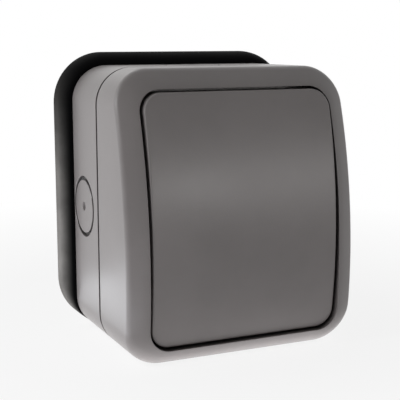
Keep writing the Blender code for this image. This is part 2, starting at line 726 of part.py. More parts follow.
def rocker_boot(paint):
    """Rubber cone on the pan whose neck grips the drive blade."""
    base = PAN_DEPTH + GAP
    flange = Outline(BOOT_FLANGE_WIDTH, BOOT_FLANGE_HEIGHT, BOOT_CORNER, APERTURE_Z, 1, 4)
    foot = Outline(WINDOW_WIDTH + 2 * GAP, WINDOW_HEIGHT + 2 * GAP, 2.0 * MM, APERTURE_Z, 1, 4)
    neck = Outline(BLADE_WIDTH + 2 * GAP, BLADE_THICKNESS + 2 * GAP, 0.5 * MM, APERTURE_Z, 1, 4)
    rise = base + BOOT_WALL + BOOT_RISE
    top = rise + BOOT_NECK
    turn = Matrix.Rotation(radians(HALF_TILT), 4, "X")
    pivot = Vector((0.0, -PIVOT_DEPTH, APERTURE_Z))

    def tilted(ring):
        return [turn @ (point - pivot) + pivot for point in ring]

    rings = [at_depth(flange.points(), base), at_depth(flange.points(), base + BOOT_WALL),
             at_depth(foot.grown(BOOT_WALL).points(), base + BOOT_WALL),
             tilted(at_depth(neck.grown(BOOT_WALL).points(), rise)),
             tilted(at_depth(neck.grown(BOOT_WALL).points(), top)),
             tilted(at_depth(neck.points(), top)),
             tilted(at_depth(neck.points(), rise - BOOT_WALL / 2)),
             at_depth(foot.points(), base + BOOT_WALL / 2),
             at_depth(foot.points(), base)]
    return finish(loft("rocker_boot", rings, closed=True), paint)


def terminal_block(name, x, z, low):
    """Brass block with a wire hole along x and a screw hole from the front."""
    half = TERMINAL_SIZE / 2
    made = block(name, (x - half, low, z - half), (x + half, low + TERMINAL_HEIGHT, z + half))
    wire = axle("wire", WIRE_HOLE_RADIUS, x - half - MM, x + half + MM, low + WIRE_HOLE_RISE, z,
                SMALL_STEPS)
    screw = drum("screw", TERMINAL_SCREW_RADIUS + GAP, low + WIRE_HOLE_RISE, low + TERMINAL_HEIGHT + MM,
                 x, z, SMALL_STEPS - 2)
    return cut(made, wire, screw)


def slotted_screw(name, x, z, seat, shank, head, head_height, length, paint):
    """Screw along the depth whose head stands on a seat, with a driver slot."""
    profile = [(shank * 0.7, seat - length), (shank, seat - length + shank * 0.5), (shank, seat),
               (head, seat), (head, seat + head_height * 0.6), (head * 0.82, seat + head_height)]
    made = placed(turned(name, profile, SMALL_STEPS), x, z)
    slot = block("slot", (x - head - MM, seat + head_height - SLOT_WIDTH, z - SLOT_WIDTH / 2),
                 (x + head + MM, seat + head_height + MM, z + SLOT_WIDTH / 2))
    cut(made, slot)
    return finish(made, paint)


def cross_screw(name, x, z, paint):
    """Pan head screw with a cross recess."""
    seat = PAN_DEPTH + GAP
    top = seat + COVER_SCREW_HEAD_HEIGHT
    end = seat - COVER_SCREW_LENGTH
    head = COVER_SCREW_HEAD
    profile = [(0, end), (COVER_SCREW_RADIUS, end + COVER_SCREW_RADIUS), (COVER_SCREW_RADIUS, seat),
               (head, seat), (head, seat + 0.5 * COVER_SCREW_HEAD_HEIGHT), (head * 0.8, top - 0.2 * MM),
               (head * 0.5, top)]
    made = placed(turned(name, profile, SMALL_STEPS), x, z)
    reach = head * 0.55
    half = SLOT_WIDTH / 2
    bars = [block("bar", (x - a, top - 1.2 * MM, z - b), (x + a, top + MM, z + b))
            for a, b in ((reach, half), (half, reach))]
    cut(made, *bars)
    return finish(made, paint)


def thread_insert(name, x, z, paint):
    """Knurled brass sleeve in a boss; the fine knurl and thread are left to the surface."""
    top = BOSS_DEPTH - GAP
    bore = COVER_SCREW_RADIUS + GAP
    low = top - INSERT_LENGTH
    groove = INSERT_GROOVE
    middle = (top + low) / 2
    waist = INSERT_RADIUS - groove
    profile = [(INSERT_RADIUS, low), (INSERT_RADIUS, middle - groove), (waist, middle - groove / 2),
               (waist, middle + groove / 2), (INSERT_RADIUS, middle + groove), (INSERT_RADIUS, top)]
    made = placed(turned(name, profile, SMALL_STEPS), x, z)
    cut(made, drum("bore", bore, low - MM, top + MM, x, z, SMALL_STEPS - 2))
    return finish(made, paint)


def contact_levels():
    """Depths of the contact pieces, from the plunger's tip down to the fixed strips."""
    front = DOLLY_DEPTH - SWING_ARM - GAP
    back = front - CONTACT_THICKNESS
    pivot = back - GAP / 2
    tip_face = back - GAP - TIP_HEIGHT
    swing = radians(CONTACT_RATIO * HALF_TILT)
    pressed = pivot - (pivot - tip_face) * cos(swing) - (TIP_Z + TIP_RADIUS) * sin(swing)
    fixed_face = pressed - GAP
    strip = fixed_face - TIP_HEIGHT - GAP
    return {"front": front, "back": back, "pivot": pivot, "fixed_face": fixed_face, "strip": strip}


def mechanism_base(paint):
    """Moulded block with the contact cavity, three terminal pockets, wire holes and two feet."""
    half_x = BASE_WIDTH / 2
    half_z = BASE_HEIGHT / 2
    middle = APERTURE_Z
    pocket = TERMINAL_SIZE / 2 + GAP
    base = block("mechanism_base", (-half_x, BASE_BACK, middle - half_z),
                 (half_x, BASE_FRONT, middle + half_z))
    lobe_z = pocket + LOBE_WALL
    lobe = block("lobe", (0, BASE_BACK, middle - lobe_z),
                 (COMMON_X + lobe_z, BASE_FRONT - LOBE_STEP, middle + lobe_z))
    additions = [lobe]
    for side in (1, -1):
        foot = [(x, middle + side * (POST_Z + z)) for x, z in foot_profile()]
        points = foot if side > 0 else list(reversed(foot))
        additions.append(extruded_foot(points))
    join(base, *additions)
    floor = BASE_BACK + BASE_FLOOR
    top = BASE_FRONT + MM
    cutters = [block("cavity", (-CAVITY_WIDTH / 2, floor, middle - CAVITY_HEIGHT / 2),
                     (CAVITY_WIDTH / 2, top, middle + CAVITY_HEIGHT / 2))]
    strip = contact_levels()["strip"]
    slot = BUSBAR_WIDTH / 2 + GAP
    wire = floor + GAP + WIRE_HOLE_RISE
    for side in (1, -1):
        z = middle + side * TERMINAL_Z
        cutters.append(block("pocket", (-pocket, floor, z - pocket), (pocket, top, z + pocket)))
        low, high = sorted((middle + side * (CAVITY_HEIGHT / 2 - MM), z))
        cutters.append(block("strip_slot", (-slot, strip - BUSBAR - GAP, low), (slot, top, high)))
        cutters.append(axle("wire_way", WIRE_HOLE_RADIUS + 2 * GAP, 0, half_x + MM, wire, z, SMALL_STEPS))
        cutters.append(drum("foot_hole", MECHANISM_SCREW_RADIUS + GAP, BASE_BACK - MM,
                            BASE_BACK + FOOT_THICKNESS + MM, 0, middle + side * POST_Z, SMALL_STEPS))
    cutters.append(block("pocket", (COMMON_X - pocket, floor, middle - pocket),
                         (COMMON_X + pocket, top, middle + pocket)))
    cutters.append(block("bar_slot", (CAVITY_WIDTH / 2 - MM, strip - BUSBAR - GAP, middle - slot),
                         (COMMON_X, top, middle + slot)))
    cutters.append(axle("wire_way", WIRE_HOLE_RADIUS + 2 * GAP, COMMON_X, COMMON_X + 2 * pocket,
                        wire, middle, SMALL_STEPS))
    notch = CLIP_CATCH + GAP
    clip_low = BASE_FRONT - CLIP_REACH
    for side_x in (1, -1):
        for side_z in (1, -1):
            low, high = sorted((side_x * (half_x - notch), side_x * (half_x + MM)))
            z = middle + side_z * CLIP_Z
            cutters.append(block("notch", (low, clip_low - GAP, z - CLIP_WIDTH / 2 - GAP),
                                 (high, clip_low + CATCH_HEIGHT + GAP, z + CLIP_WIDTH / 2 + GAP)))
    cut(base, *cutters)
    return finish(base, paint)


def foot_profile():
    """Half round foot about its screw, as x and z measured from the screw."""
    half = FOOT_WIDTH / 2
    inward = POST_Z - BASE_HEIGHT / 2 + MM
    points = [(half, -inward)]
    for k in range(9):
        angle = pi * k / 8
        points.append((half * cos(angle), half * sin(angle)))
    points.append((-half, -inward))
    return points


def extruded_foot(points):
    """Extrude x and z points over the foot's thickness."""
    bm = bmesh.new()
    low = [bm.verts.new((x, -BASE_BACK, z)) for x, z in points]
    high = [bm.verts.new((x, -BASE_BACK - FOOT_THICKNESS, z)) for x, z in points]
    bm.faces.new(low)
    bm.faces.new(high)
    for k in range(len(points)):
        after = (k + 1) % len(points)
        bm.faces.new((low[k], low[after], high[after], high[k]))
    return make_object("foot", bm)


def mechanism_lid(paint):
    """Plate with the dolly's bearing ears and four clips over the base's sides."""
    half_x = BASE_WIDTH / 2
    middle = APERTURE_Z
    low = BASE_FRONT + GAP
    top = low + LID_THICKNESS
    lid = block("mechanism_lid", (-half_x - GAP, low, middle - LID_HEIGHT / 2),
                (half_x + GAP, top, middle + LID_HEIGHT / 2))
    ear = tab_profile(low + MM, DOLLY_DEPTH, DOLLY_HUB_RADIUS, centre_z=middle)
    ear_x = DOLLY_HUB_WIDTH / 2 + GAP
    additions = []
    for side in (1, -1):
        near, far = sorted((side * ear_x, side * (ear_x + LID_EAR)))
        additions.append(plate("ear", ear, near, far))
        for side_z in (1, -1):
            z = middle + side_z * CLIP_Z
            near, far = sorted((side * (half_x + GAP), side * (half_x + GAP + CLIP_THICKNESS)))
            clip_low = BASE_FRONT - CLIP_REACH
            leg = block("leg", (near, clip_low, z - CLIP_WIDTH / 2), (far, top, z + CLIP_WIDTH / 2))
            near, far = sorted((side * (half_x - CLIP_CATCH), side * (half_x + GAP + CLIP_THICKNESS)))
            catch = block("catch", (near, clip_low, z - CLIP_WIDTH / 2),
                          (far, clip_low + CATCH_HEIGHT, z + CLIP_WIDTH / 2))
            additions += [leg, catch]
    join(lid, *additions)
    window = block("window", (-ear_x, low - MM, middle - LID_WINDOW_HEIGHT / 2),
                   (ear_x, top + MM, middle + LID_WINDOW_HEIGHT / 2))
    bearing = axle("bearing", DOLLY_PIN_RADIUS + GAP, -half_x - MM, half_x + MM, DOLLY_DEPTH, middle,
                   SMALL_STEPS)
    cut(lid, window, bearing)
    return finish(lid, paint)


def dolly(paint, axis):
    """Inner lever: a fork for the drive blade, a hub on its pin and a tube for the plunger."""
    middle = APERTURE_Z
    half = DOLLY_HUB_WIDTH / 2
    hub = axle("dolly", DOLLY_HUB_RADIUS, -half, half, DOLLY_DEPTH, middle)
    tip = DOLLY_DEPTH + DOLLY_ARM + FORK_TIP
    reach = FORK_SLOT / 2 + FORK_PRONG
    neck = DOLLY_HUB_RADIUS * 0.7
    shoulder = DOLLY_DEPTH + DOLLY_HUB_RADIUS * 0.8
    upper = [(DOLLY_DEPTH, neck), (shoulder, reach),
             (tip - FORK_CHAMFER, reach), (tip, reach - FORK_CHAMFER)]
    fork = [(depth, middle + z) for depth, z in upper]
    fork += [(depth, middle - z) for depth, z in reversed(upper)]
    join(hub, plate("fork", fork, -FORK_WIDTH / 2, FORK_WIDTH / 2),
         drum("tube", DOLLY_HUB_RADIUS, DOLLY_DEPTH - TUBE_LENGTH, DOLLY_DEPTH, 0, middle, TUBE_STEPS))
    slot_floor = DOLLY_DEPTH + DOLLY_ARM - FORK_FLOOR
    cut(hub,
        block("slot", (-FORK_WIDTH, slot_floor, middle - FORK_SLOT / 2),
              (FORK_WIDTH, tip + MM, middle + FORK_SLOT / 2)),
        axle("bearing", DOLLY_PIN_RADIUS + GAP, -half - MM, half + MM, DOLLY_DEPTH, middle, SMALL_STEPS),
        drum("bore", PLUNGER_RADIUS + GAP, DOLLY_DEPTH - TUBE_LENGTH - MM, DOLLY_DEPTH - BORE_CEILING,
             0, middle, TUBE_STEPS))
    hang_on(hub, axis)
    return finish(hub, paint)


def dolly_pin(paint):
    half = DOLLY_PIN_LENGTH / 2
    pin = axle("dolly_pin", DOLLY_PIN_RADIUS, -half, half, DOLLY_DEPTH, APERTURE_Z, SMALL_STEPS)
    return finish(pin, paint)


def plunger_top():
    return DOLLY_DEPTH - SWING_ARM + PLUNGER_TIP_RADIUS + PLUNGER_BODY


def plunger(paint, axis):
    """Round nosed pin that slides in the dolly's tube."""
    tip = DOLLY_DEPTH - SWING_ARM
    steps = 4
    angles = [pi / 2 * k / steps for k in range(steps + 1)]
    shoulder = tip + PLUNGER_TIP_RADIUS
    profile = [(0, tip)]
    profile += [(PLUNGER_TIP_RADIUS * sin(a), shoulder - PLUNGER_TIP_RADIUS * cos(a)) for a in angles[1:]]
    profile += [(PLUNGER_RADIUS, shoulder + GAP), (PLUNGER_RADIUS, plunger_top())]
    made = placed(turned("plunger", profile, SMALL_STEPS), 0, APERTURE_Z)
    hang_on(made, axis)
    return finish(made, paint)


def plunger_spring(paint, axis):
    """Coil spring between the plunger and the end of the tube."""
    low = plunger_top() + GAP + SPRING_WIRE
    high = DOLLY_DEPTH - BORE_CEILING - GAP - SPRING_WIRE
    radius = PLUNGER_RADIUS - SPRING_WIRE
    per_turn = 12
    count = SPRING_TURNS * per_turn
    sides = 5
    bm = bmesh.new()
    rows = []
    for k in range(count + 1):
        angle = 2 * pi * k / per_turn
        depth = low + (high - low) * k / count
        outward = Vector((cos(angle), 0, sin(angle)))
        centre = outward * radius + Vector((0, -depth, APERTURE_Z))
        row = []
        for j in range(sides):
            around = 2 * pi * j / sides
            offset = outward * cos(around) + Vector((0, 1, 0)) * sin(around)
            row.append(bm.verts.new(centre + SPRING_WIRE * offset))
        rows.append(row)
    for lower, upper in zip(rows, rows[1:]):
        for j in range(sides):
            after = (j + 1) % sides
            bm.faces.new((lower[j], lower[after], upper[after], upper[j]))
    bm.faces.new(rows[0])
    bm.faces.new(rows[-1])
    made = make_object("plunger_spring", bm)
    hang_on(made, axis)
    return finish(made, paint)


def rivet_profile(face, plate_side, through):
    """Contact rivet: a domed head on one side of a plate and a shank that goes through it."""
    away = 1 if face > plate_side else -1
    return [(RIVET_RADIUS, through), (RIVET_RADIUS, plate_side), (TIP_RADIUS, plate_side),
            (TIP_RADIUS, face - away * 0.25 * MM), (TIP_RADIUS * 0.7, face)]


def moving_contact(paint, axis):
    """Seesaw blade with a hole for a contact rivet at each end."""
    levels = contact_levels()
    outline = Outline(CONTACT_WIDTH, 2 * CONTACT_HALF_LENGTH, 2.2 * MM, APERTURE_Z, 1, 4).points()
    made = loft("moving_contact", [at_depth(outline, levels["back"]), at_depth(outline, levels["front"])])
    holes = [drum("hole", RIVET_RADIUS + GAP, levels["back"] - MM, levels["front"] + MM, 0,
                  APERTURE_Z + side * TIP_Z, SMALL_STEPS - 4) for side in (1, -1)]
    cut(made, *holes)
    hang_on(made, axis)
    return finish(made, paint)


def moving_tip(name, side, paint, axis):
    levels = contact_levels()
    seat = levels["back"] - GAP
    profile = rivet_profile(seat - TIP_HEIGHT, seat, levels["front"] - 0.1 * MM)
    made = placed(turned(name, profile, SMALL_STEPS), 0, APERTURE_Z + side * TIP_Z)
    hang_on(made, axis)
    return finish(made, paint)


def fixed_tip(name, side, paint):
    levels = contact_levels()
    seat = levels["strip"] + GAP
    profile = rivet_profile(levels["fixed_face"], seat, levels["strip"] - BUSBAR + 0.1 * MM)
    made = placed(turned(name, profile, SMALL_STEPS), 0, APERTURE_Z + side * TIP_Z)
    return finish(made, paint)


def terminal_seat():
    return BASE_BACK + BASE_FLOOR + GAP


def fixed_contact(name, side, paint):
    """Terminal block with the strip that carries the fixed contact rivet."""
    z = APERTURE_Z + side * TERMINAL_Z
    made = terminal_block(name, 0, z, terminal_seat())
    strip = contact_levels()["strip"]
    inner = APERTURE_Z + side * (TIP_Z - TIP_RADIUS - MM)
    low, high = sorted((inner, z - side * (TERMINAL_SIZE / 2 - 0.5 * MM)))
    join(made, block("strip", (-BUSBAR_WIDTH / 2, strip - BUSBAR, low), (BUSBAR_WIDTH / 2, strip, high)))
    cut(made, drum("hole", RIVET_RADIUS + GAP, strip - 2 * BUSBAR, strip + MM, 0,
                   APERTURE_Z + side * TIP_Z, SMALL_STEPS - 4))
    return finish(made, paint)


def common_terminal(paint):
    """Terminal block with a bar under the seesaw and the knife edge that it rocks on."""
    levels = contact_levels()
    made = terminal_block("common_terminal", COMMON_X, APERTURE_Z, terminal_seat())
    half = BUSBAR_WIDTH / 2
    bar_top = levels["strip"]
    bar = block("bar", (-half, bar_top - BUSBAR, APERTURE_Z - half),
                (COMMON_X - TERMINAL_SIZE / 2 + 0.5 * MM, bar_top, APERTURE_Z + half))
    edge = [(bar_top - BUSBAR / 2, APERTURE_Z - 1.6 * MM), (levels["back"] - GAP, APERTURE_Z - 0.25 * MM),
            (levels["back"] - GAP, APERTURE_Z + 0.25 * MM), (bar_top - BUSBAR / 2, APERTURE_Z + 1.6 * MM)]
    join(made, bar, plate("knife", edge, -half + 0.2 * MM, half - 0.2 * MM))
    return finish(made, paint)


def terminal_screw(name, x, z, block_low, paint):
    seat = block_low + TERMINAL_HEIGHT + GAP
    length = TERMINAL_HEIGHT - WIRE_HOLE_RISE
    return slotted_screw(name, x, z, seat, TERMINAL_SCREW_RADIUS, TERMINAL_SCREW_HEAD,
                         TERMINAL_SCREW_HEAD_HEIGHT, length, paint)


def build_housing(shell, rubber, steel, brass):
    wall_seal(rubber)
    back_box(shell)
    cover_seal(rubber)
    front_cover(shell)
    names = ("upper_left", "upper_right", "lower_left", "lower_right")
    for name, (x, z) in zip(names, cover_screw_places()):
        cross_screw("cover_screw_" + name, x, z, steel)
        thread_insert("thread_insert_" + name, x, z, brass)
    earth_low = EARTH_POST_DEPTH + GAP
    finish(terminal_block("earth_terminal", EARTH_X, EARTH_Z, earth_low), brass)
    terminal_screw("earth_screw", EARTH_X, EARTH_Z, earth_low, brass)


def build_rocker(shell, rubber, steel):
    axis = axis_empty("rocker_axis", PIVOT_DEPTH, APERTURE_Z, HALF_TILT)
    rocker(shell, axis)
    pivot_pin("pivot_pin_left", -1, steel)
    pivot_pin("pivot_pin_right", 1, steel)
    rocker_boot(rubber)


def build_mechanism(moulding, lever, steel, brass, silver):
    mechanism_base(moulding)
    mechanism_lid(moulding)
    dolly_axis = axis_empty("dolly_axis", DOLLY_DEPTH, APERTURE_Z, -DOLLY_RATIO * HALF_TILT)
    dolly(lever, dolly_axis)
    dolly_pin(steel)
    plunger(lever, dolly_axis)
    plunger_spring(steel, dolly_axis)
    contact_axis = axis_empty("contact_axis", contact_levels()["pivot"], APERTURE_Z,
                              CONTACT_RATIO * HALF_TILT)
    moving_contact(brass, contact_axis)
    common_terminal(brass)
    terminal_screw("terminal_screw_common", COMMON_X, APERTURE_Z, terminal_seat(), brass)
    for word, side in (("upper", 1), ("lower", -1)):
        moving_tip("moving_tip_" + word, side, silver, contact_axis)
        fixed_contact("fixed_contact_" + word, side, brass)
        fixed_tip("fixed_tip_" + word, side, silver)
        z = APERTURE_Z + side * TERMINAL_Z
        terminal_screw("terminal_screw_" + word, 0, z, terminal_seat(), brass)
        seat = BASE_BACK + FOOT_THICKNESS + GAP
        slotted_screw("mechanism_screw_" + word, 0, APERTURE_Z + side * POST_Z, seat,
                      MECHANISM_SCREW_RADIUS, MECHANISM_SCREW_HEAD, MECHANISM_SCREW_HEAD_HEIGHT,
                      MECHANISM_SCREW_LENGTH, steel)


def main():
    clear_scene()
    shell = material("grey_plastic", (0.243, 0.236, 0.232), 0.45)
    rubber = material("black_rubber", (0.02, 0.02, 0.021), 0.6)
    moulding = material("white_moulding", (0.68, 0.67, 0.63), 0.5)
    lever = material("lever_plastic", (0.42, 0.05, 0.04), 0.4)
    steel = material("zinc_steel", (0.58, 0.58, 0.57), 0.35, 1.0)
    brass = material("brass", (0.71, 0.53, 0.24), 0.3, 1.0)
    silver = material("contact_silver", (0.82, 0.81, 0.78), 0.25, 1.0)
    build_housing(shell, rubber, steel, brass)
    build_rocker(shell, rubber, steel)
    build_mechanism(moulding, lever, steel, brass, silver)


main()
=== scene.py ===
import bpy
import bmesh
from math import cos, pi, radians, sin
from mathutils import Matrix, Vector


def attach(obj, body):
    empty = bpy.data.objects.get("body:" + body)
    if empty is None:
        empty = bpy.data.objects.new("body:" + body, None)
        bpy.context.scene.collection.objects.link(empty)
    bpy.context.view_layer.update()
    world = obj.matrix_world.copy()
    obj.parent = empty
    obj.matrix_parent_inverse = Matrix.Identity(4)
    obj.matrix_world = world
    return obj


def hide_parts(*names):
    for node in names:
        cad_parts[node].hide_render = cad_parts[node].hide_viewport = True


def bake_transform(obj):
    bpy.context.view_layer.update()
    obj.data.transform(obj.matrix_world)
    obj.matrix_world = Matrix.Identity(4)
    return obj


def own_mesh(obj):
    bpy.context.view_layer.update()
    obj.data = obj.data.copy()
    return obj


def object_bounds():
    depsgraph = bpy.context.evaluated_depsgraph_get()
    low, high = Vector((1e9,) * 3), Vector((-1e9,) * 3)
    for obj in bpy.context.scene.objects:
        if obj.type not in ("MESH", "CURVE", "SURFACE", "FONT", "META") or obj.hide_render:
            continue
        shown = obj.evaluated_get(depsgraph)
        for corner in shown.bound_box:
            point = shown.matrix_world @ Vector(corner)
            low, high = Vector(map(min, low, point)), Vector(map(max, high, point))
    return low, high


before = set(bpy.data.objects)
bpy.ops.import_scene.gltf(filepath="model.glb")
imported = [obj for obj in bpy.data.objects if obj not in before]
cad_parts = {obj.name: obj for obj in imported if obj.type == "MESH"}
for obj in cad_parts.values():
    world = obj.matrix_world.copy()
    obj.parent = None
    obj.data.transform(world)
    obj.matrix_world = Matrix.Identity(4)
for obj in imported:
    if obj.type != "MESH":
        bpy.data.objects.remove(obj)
cadLow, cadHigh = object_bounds()
mm = 0.001
print("frame loaded")


def inMetres(values):
    return {key: value * mm for key, value in values.items() if isinstance(value, float)}


# The dictionaries are in millimetres, and what is built from them in metres.
# y = 0 is the wall and the front faces -Y, so a depth is minus y.
housing = {"gap": 0.3, "bodyWidth": 80.1, "bodyHeight": 92.0, "bodyCorner": 12.0, "seam": 34.2,
           "crownDepth": 62.83, "crownHeight": -18.0, "frontRadius": 171.5,
           "openingWidth": 66.8, "openingHeight": 80.2, "openingCorner": 7.1, "openingHeightMiddle": -0.4,
           "smallestCorner": 0.2, "pan": 43.5, "pivot": 54.0, "restTilt": 2.4, "boss": 30.0,
           "screwX": 26.0, "screwZ": 32.0}
sizes = inMetres(housing)
gap, pan, pivot, seam, boss = (sizes[name] for name in ("gap", "pan", "pivot", "seam", "boss"))
middle = sizes["openingHeightMiddle"]
crown = sizes["crownDepth"]
corners = [(x, z) for z in (1, -1) for x in (-1, 1)]
screwPlaces = [(x * sizes["screwX"], z * sizes["screwZ"]) for x, z in corners]


# Meshes

def roundedOutline(width, height, radius, centreZ=0.0, cornerSteps=18, sideSteps=40):
    # right half from bottom to top, then its mirror image from top to bottom
    halfX, halfZ = width / 2 - radius, height / 2 - radius
    right = []
    for end, startAngle in ((-1, -pi / 2), (1, 0.0)):
        for k in range(cornerSteps + 1):
            angle = startAngle + pi / 2 * k / cornerSteps
            right.append((halfX + radius * cos(angle), centreZ + end * halfZ + radius * sin(angle)))
        if end < 0:
            right += [(width / 2, centreZ - halfZ + 2 * halfZ * k / sideSteps) for k in range(1, sideSteps)]
    return right + [(-x, z) for x, z in reversed(right)]


def bodyLine(grow=0.0):
    by = grow * mm
    return roundedOutline(sizes["bodyWidth"] + 2 * by, sizes["bodyHeight"] + 2 * by, sizes["bodyCorner"] + by)


def openingLine(grow=0.0):
    by = grow * mm
    return roundedOutline(sizes["openingWidth"] + 2 * by, sizes["openingHeight"] + 2 * by,
                          max(sizes["openingCorner"] + by, sizes["smallestCorner"]), middle)


def mixLines(first, second, share):
    return [(a[0] + (b[0] - a[0]) * share, a[1] + (b[1] - a[1]) * share) for a, b in zip(first, second)]


def atDepth(line, depth, fall=0.0):
    # a ring off the wall; the fourth number says how far a point follows the curved front
    return [Vector((x, -depth, z, fall)) for x, z in line]


def ringsOf(line, *rows):
    # each row has the line's growth, the depth, the rounding of the corner there, and the fall where it has one
    return [(atDepth(line(grow), depth, *fall), radius) for grow, depth, radius, *fall in rows]


def soften(rings, closed=False, steps=4):
    # rings is a list of (ring, radius); each corner of the section becomes a small round
    rows, count = [], len(rings)
    most, beside = 0.48, 1.5  # of a side's length at each end, and of the radius
    for k, (ring, radius) in enumerate(rings):
        if radius <= 0 or (not closed and k in (0, count - 1)):
            rows.append(ring)
            continue
        before, after = rings[k - 1][0], rings[(k + 1) % count][0]
        for step in range(-1, steps + 2):
            share = min(max(step / steps, 0.0), 1.0)
            # a ring beside the round keeps the flats flat
            reach = radius * mm * (beside if step in (-1, steps + 1) else 1.0)
            row = []
            for point, *sides in zip(ring, before, after):
                first, last = ((side - point) * min(reach / max((side - point).xyz.length, 1e-9), most)
                               for side in sides)
                row.append(point + first * (1 - share) ** 2 + last * share ** 2)
            rows.append(row)
    return rows


def newObject(name, data):
    made = bpy.data.objects.new(name, data)
    bpy.context.scene.collection.objects.link(made)
    return made


def fromBmesh(name, bm):
    bmesh.ops.remove_doubles(bm, verts=bm.verts, dist=1e-7)
    bmesh.ops.recalc_face_normals(bm, faces=bm.faces)
    mesh = bpy.data.meshes.new(name)
    bm.to_mesh(mesh)
    bm.free()
    return newObject(name, mesh)


def bridge(bm, lower, upper):
    count = len(lower)
    for k in range(count):
        after = (k + 1) % count
        bm.faces.new((lower[k], lower[after], upper[after], upper[k]))


def skin(name, rows, closed=False):
    # joins the rows; a closed skin ends where it began, and an open one has a cap at each end
    bm = bmesh.new()
    fall = bm.verts.layers.float.new("fall")
    made = []
    for row in rows:
        made.append([bm.verts.new(point.xyz) for point in row])
        for vert, point in zip(made[-1], row):
            vert[fall] = point.w
    for lower, upper in list(zip(made, made[1:])) + ([(made[-1], made[0])] if closed else []):
        bridge(bm, lower, upper)
    for row in () if closed else (made[0], made[-1]):
        for k in range(len(row) // 2 - 1):
            bm.faces.new((row[k], row[k + 1], row[-2 - k], row[-1 - k]))
    return fromBmesh(name, bm)


def extruded(name, profile, fromX, toX):
    # profile points are depth and z
    bm = bmesh.new()
    near, far = ([bm.verts.new((x, -depth, z)) for depth, z in profile] for x in (fromX, toX))
    bm.faces.new(near)
    bm.faces.new(far)
    bridge(bm, near, far)
    return fromBmesh(name, bm)


def turned(name, profile, steps, place=(0.0, 0.0), ring=False):
    # profile points are radius and depth, spun about the depth axis; a ring's profile ends where it began
    bm = bmesh.new()
    rings = []
    for radius, depth in profile:
        angles = [2 * pi * k / steps for k in range(steps if radius > 0 else 1)]
        rings.append([bm.verts.new((place[0] + radius * cos(a), -depth, place[1] + radius * sin(a)))
                      for a in angles])
    for lower, upper in zip(rings, rings[1:] + rings[:1] if ring else rings[1:]):
        for k in range(steps):
            after = (k + 1) % steps
            around = [lower[k % len(lower)], lower[after % len(lower)],
                      upper[after % len(upper)], upper[k % len(upper)]]
            bm.faces.new(list(dict.fromkeys(around)))
    for end in () if ring else (rings[0], rings[-1]):
        if len(end) > 1:
            bm.faces.new(end)
    return fromBmesh(name, bm)


def rod(name, radius, fromDepth, toDepth, place, steps=48):
    return turned(name, [(radius, fromDepth), (radius, toDepth)], steps, place)


def bearing(radius, fromX, toX, steps=48):
    angles = [2 * pi * k / steps for k in range(steps)]
    return extruded("bearing", [(radius * cos(a) + pivot, radius * sin(a) + middle) for a in angles], fromX, toX)


def box(name, low, high):
    return extruded(name, [(low[1], low[2]), (high[1], low[2]), (high[1], high[2]), (low[1], high[2])],
                    low[0], high[0])


def tab(back, halfHeight, steps=20):
    # a plate's outline with a round end about the pivot
    toward = 1 if pivot > back else -1
    angles = [-pi / 2 + pi * k / steps for k in range(steps + 1)]
    points = [(pivot + toward * halfHeight * cos(a), middle + halfHeight * sin(a)) for a in angles]
    return [(back, middle - halfHeight)] + points + [(back, middle + halfHeight)]


def tiltAbout(axis, degrees):
    return Matrix.Translation(axis) @ Matrix.Rotation(radians(degrees), 4, "X") @ Matrix.Translation(-axis)


def bake(piece):
    # turns what the modifiers make into the piece's own plain mesh
    bpy.context.view_layer.update()
    mesh = bpy.data.meshes.new_from_object(piece.evaluated_get(bpy.context.evaluated_depsgraph_get()))
    piece.modifiers.clear()
    piece.data = mesh
    return piece


def combine(piece, tools, operation):
    for tool in tools:
        step = piece.modifiers.new(operation, "BOOLEAN")
        step.operation = operation
        step.object = tool
        step.solver = "EXACT"
    bake(piece)
    for tool in tools:
        bpy.data.objects.remove(tool, do_unlink=True)


def complete(piece, paint, body, *nodes, slot, sharp=32):
    piece.data.materials.clear()
    piece.data.materials.append(paint)
    piece.data.shade_smooth()
    piece.data.set_sharp_from_angle(angle=radians(sharp))
    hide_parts(*nodes)
    if body:
        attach(piece, body)


# Node trees

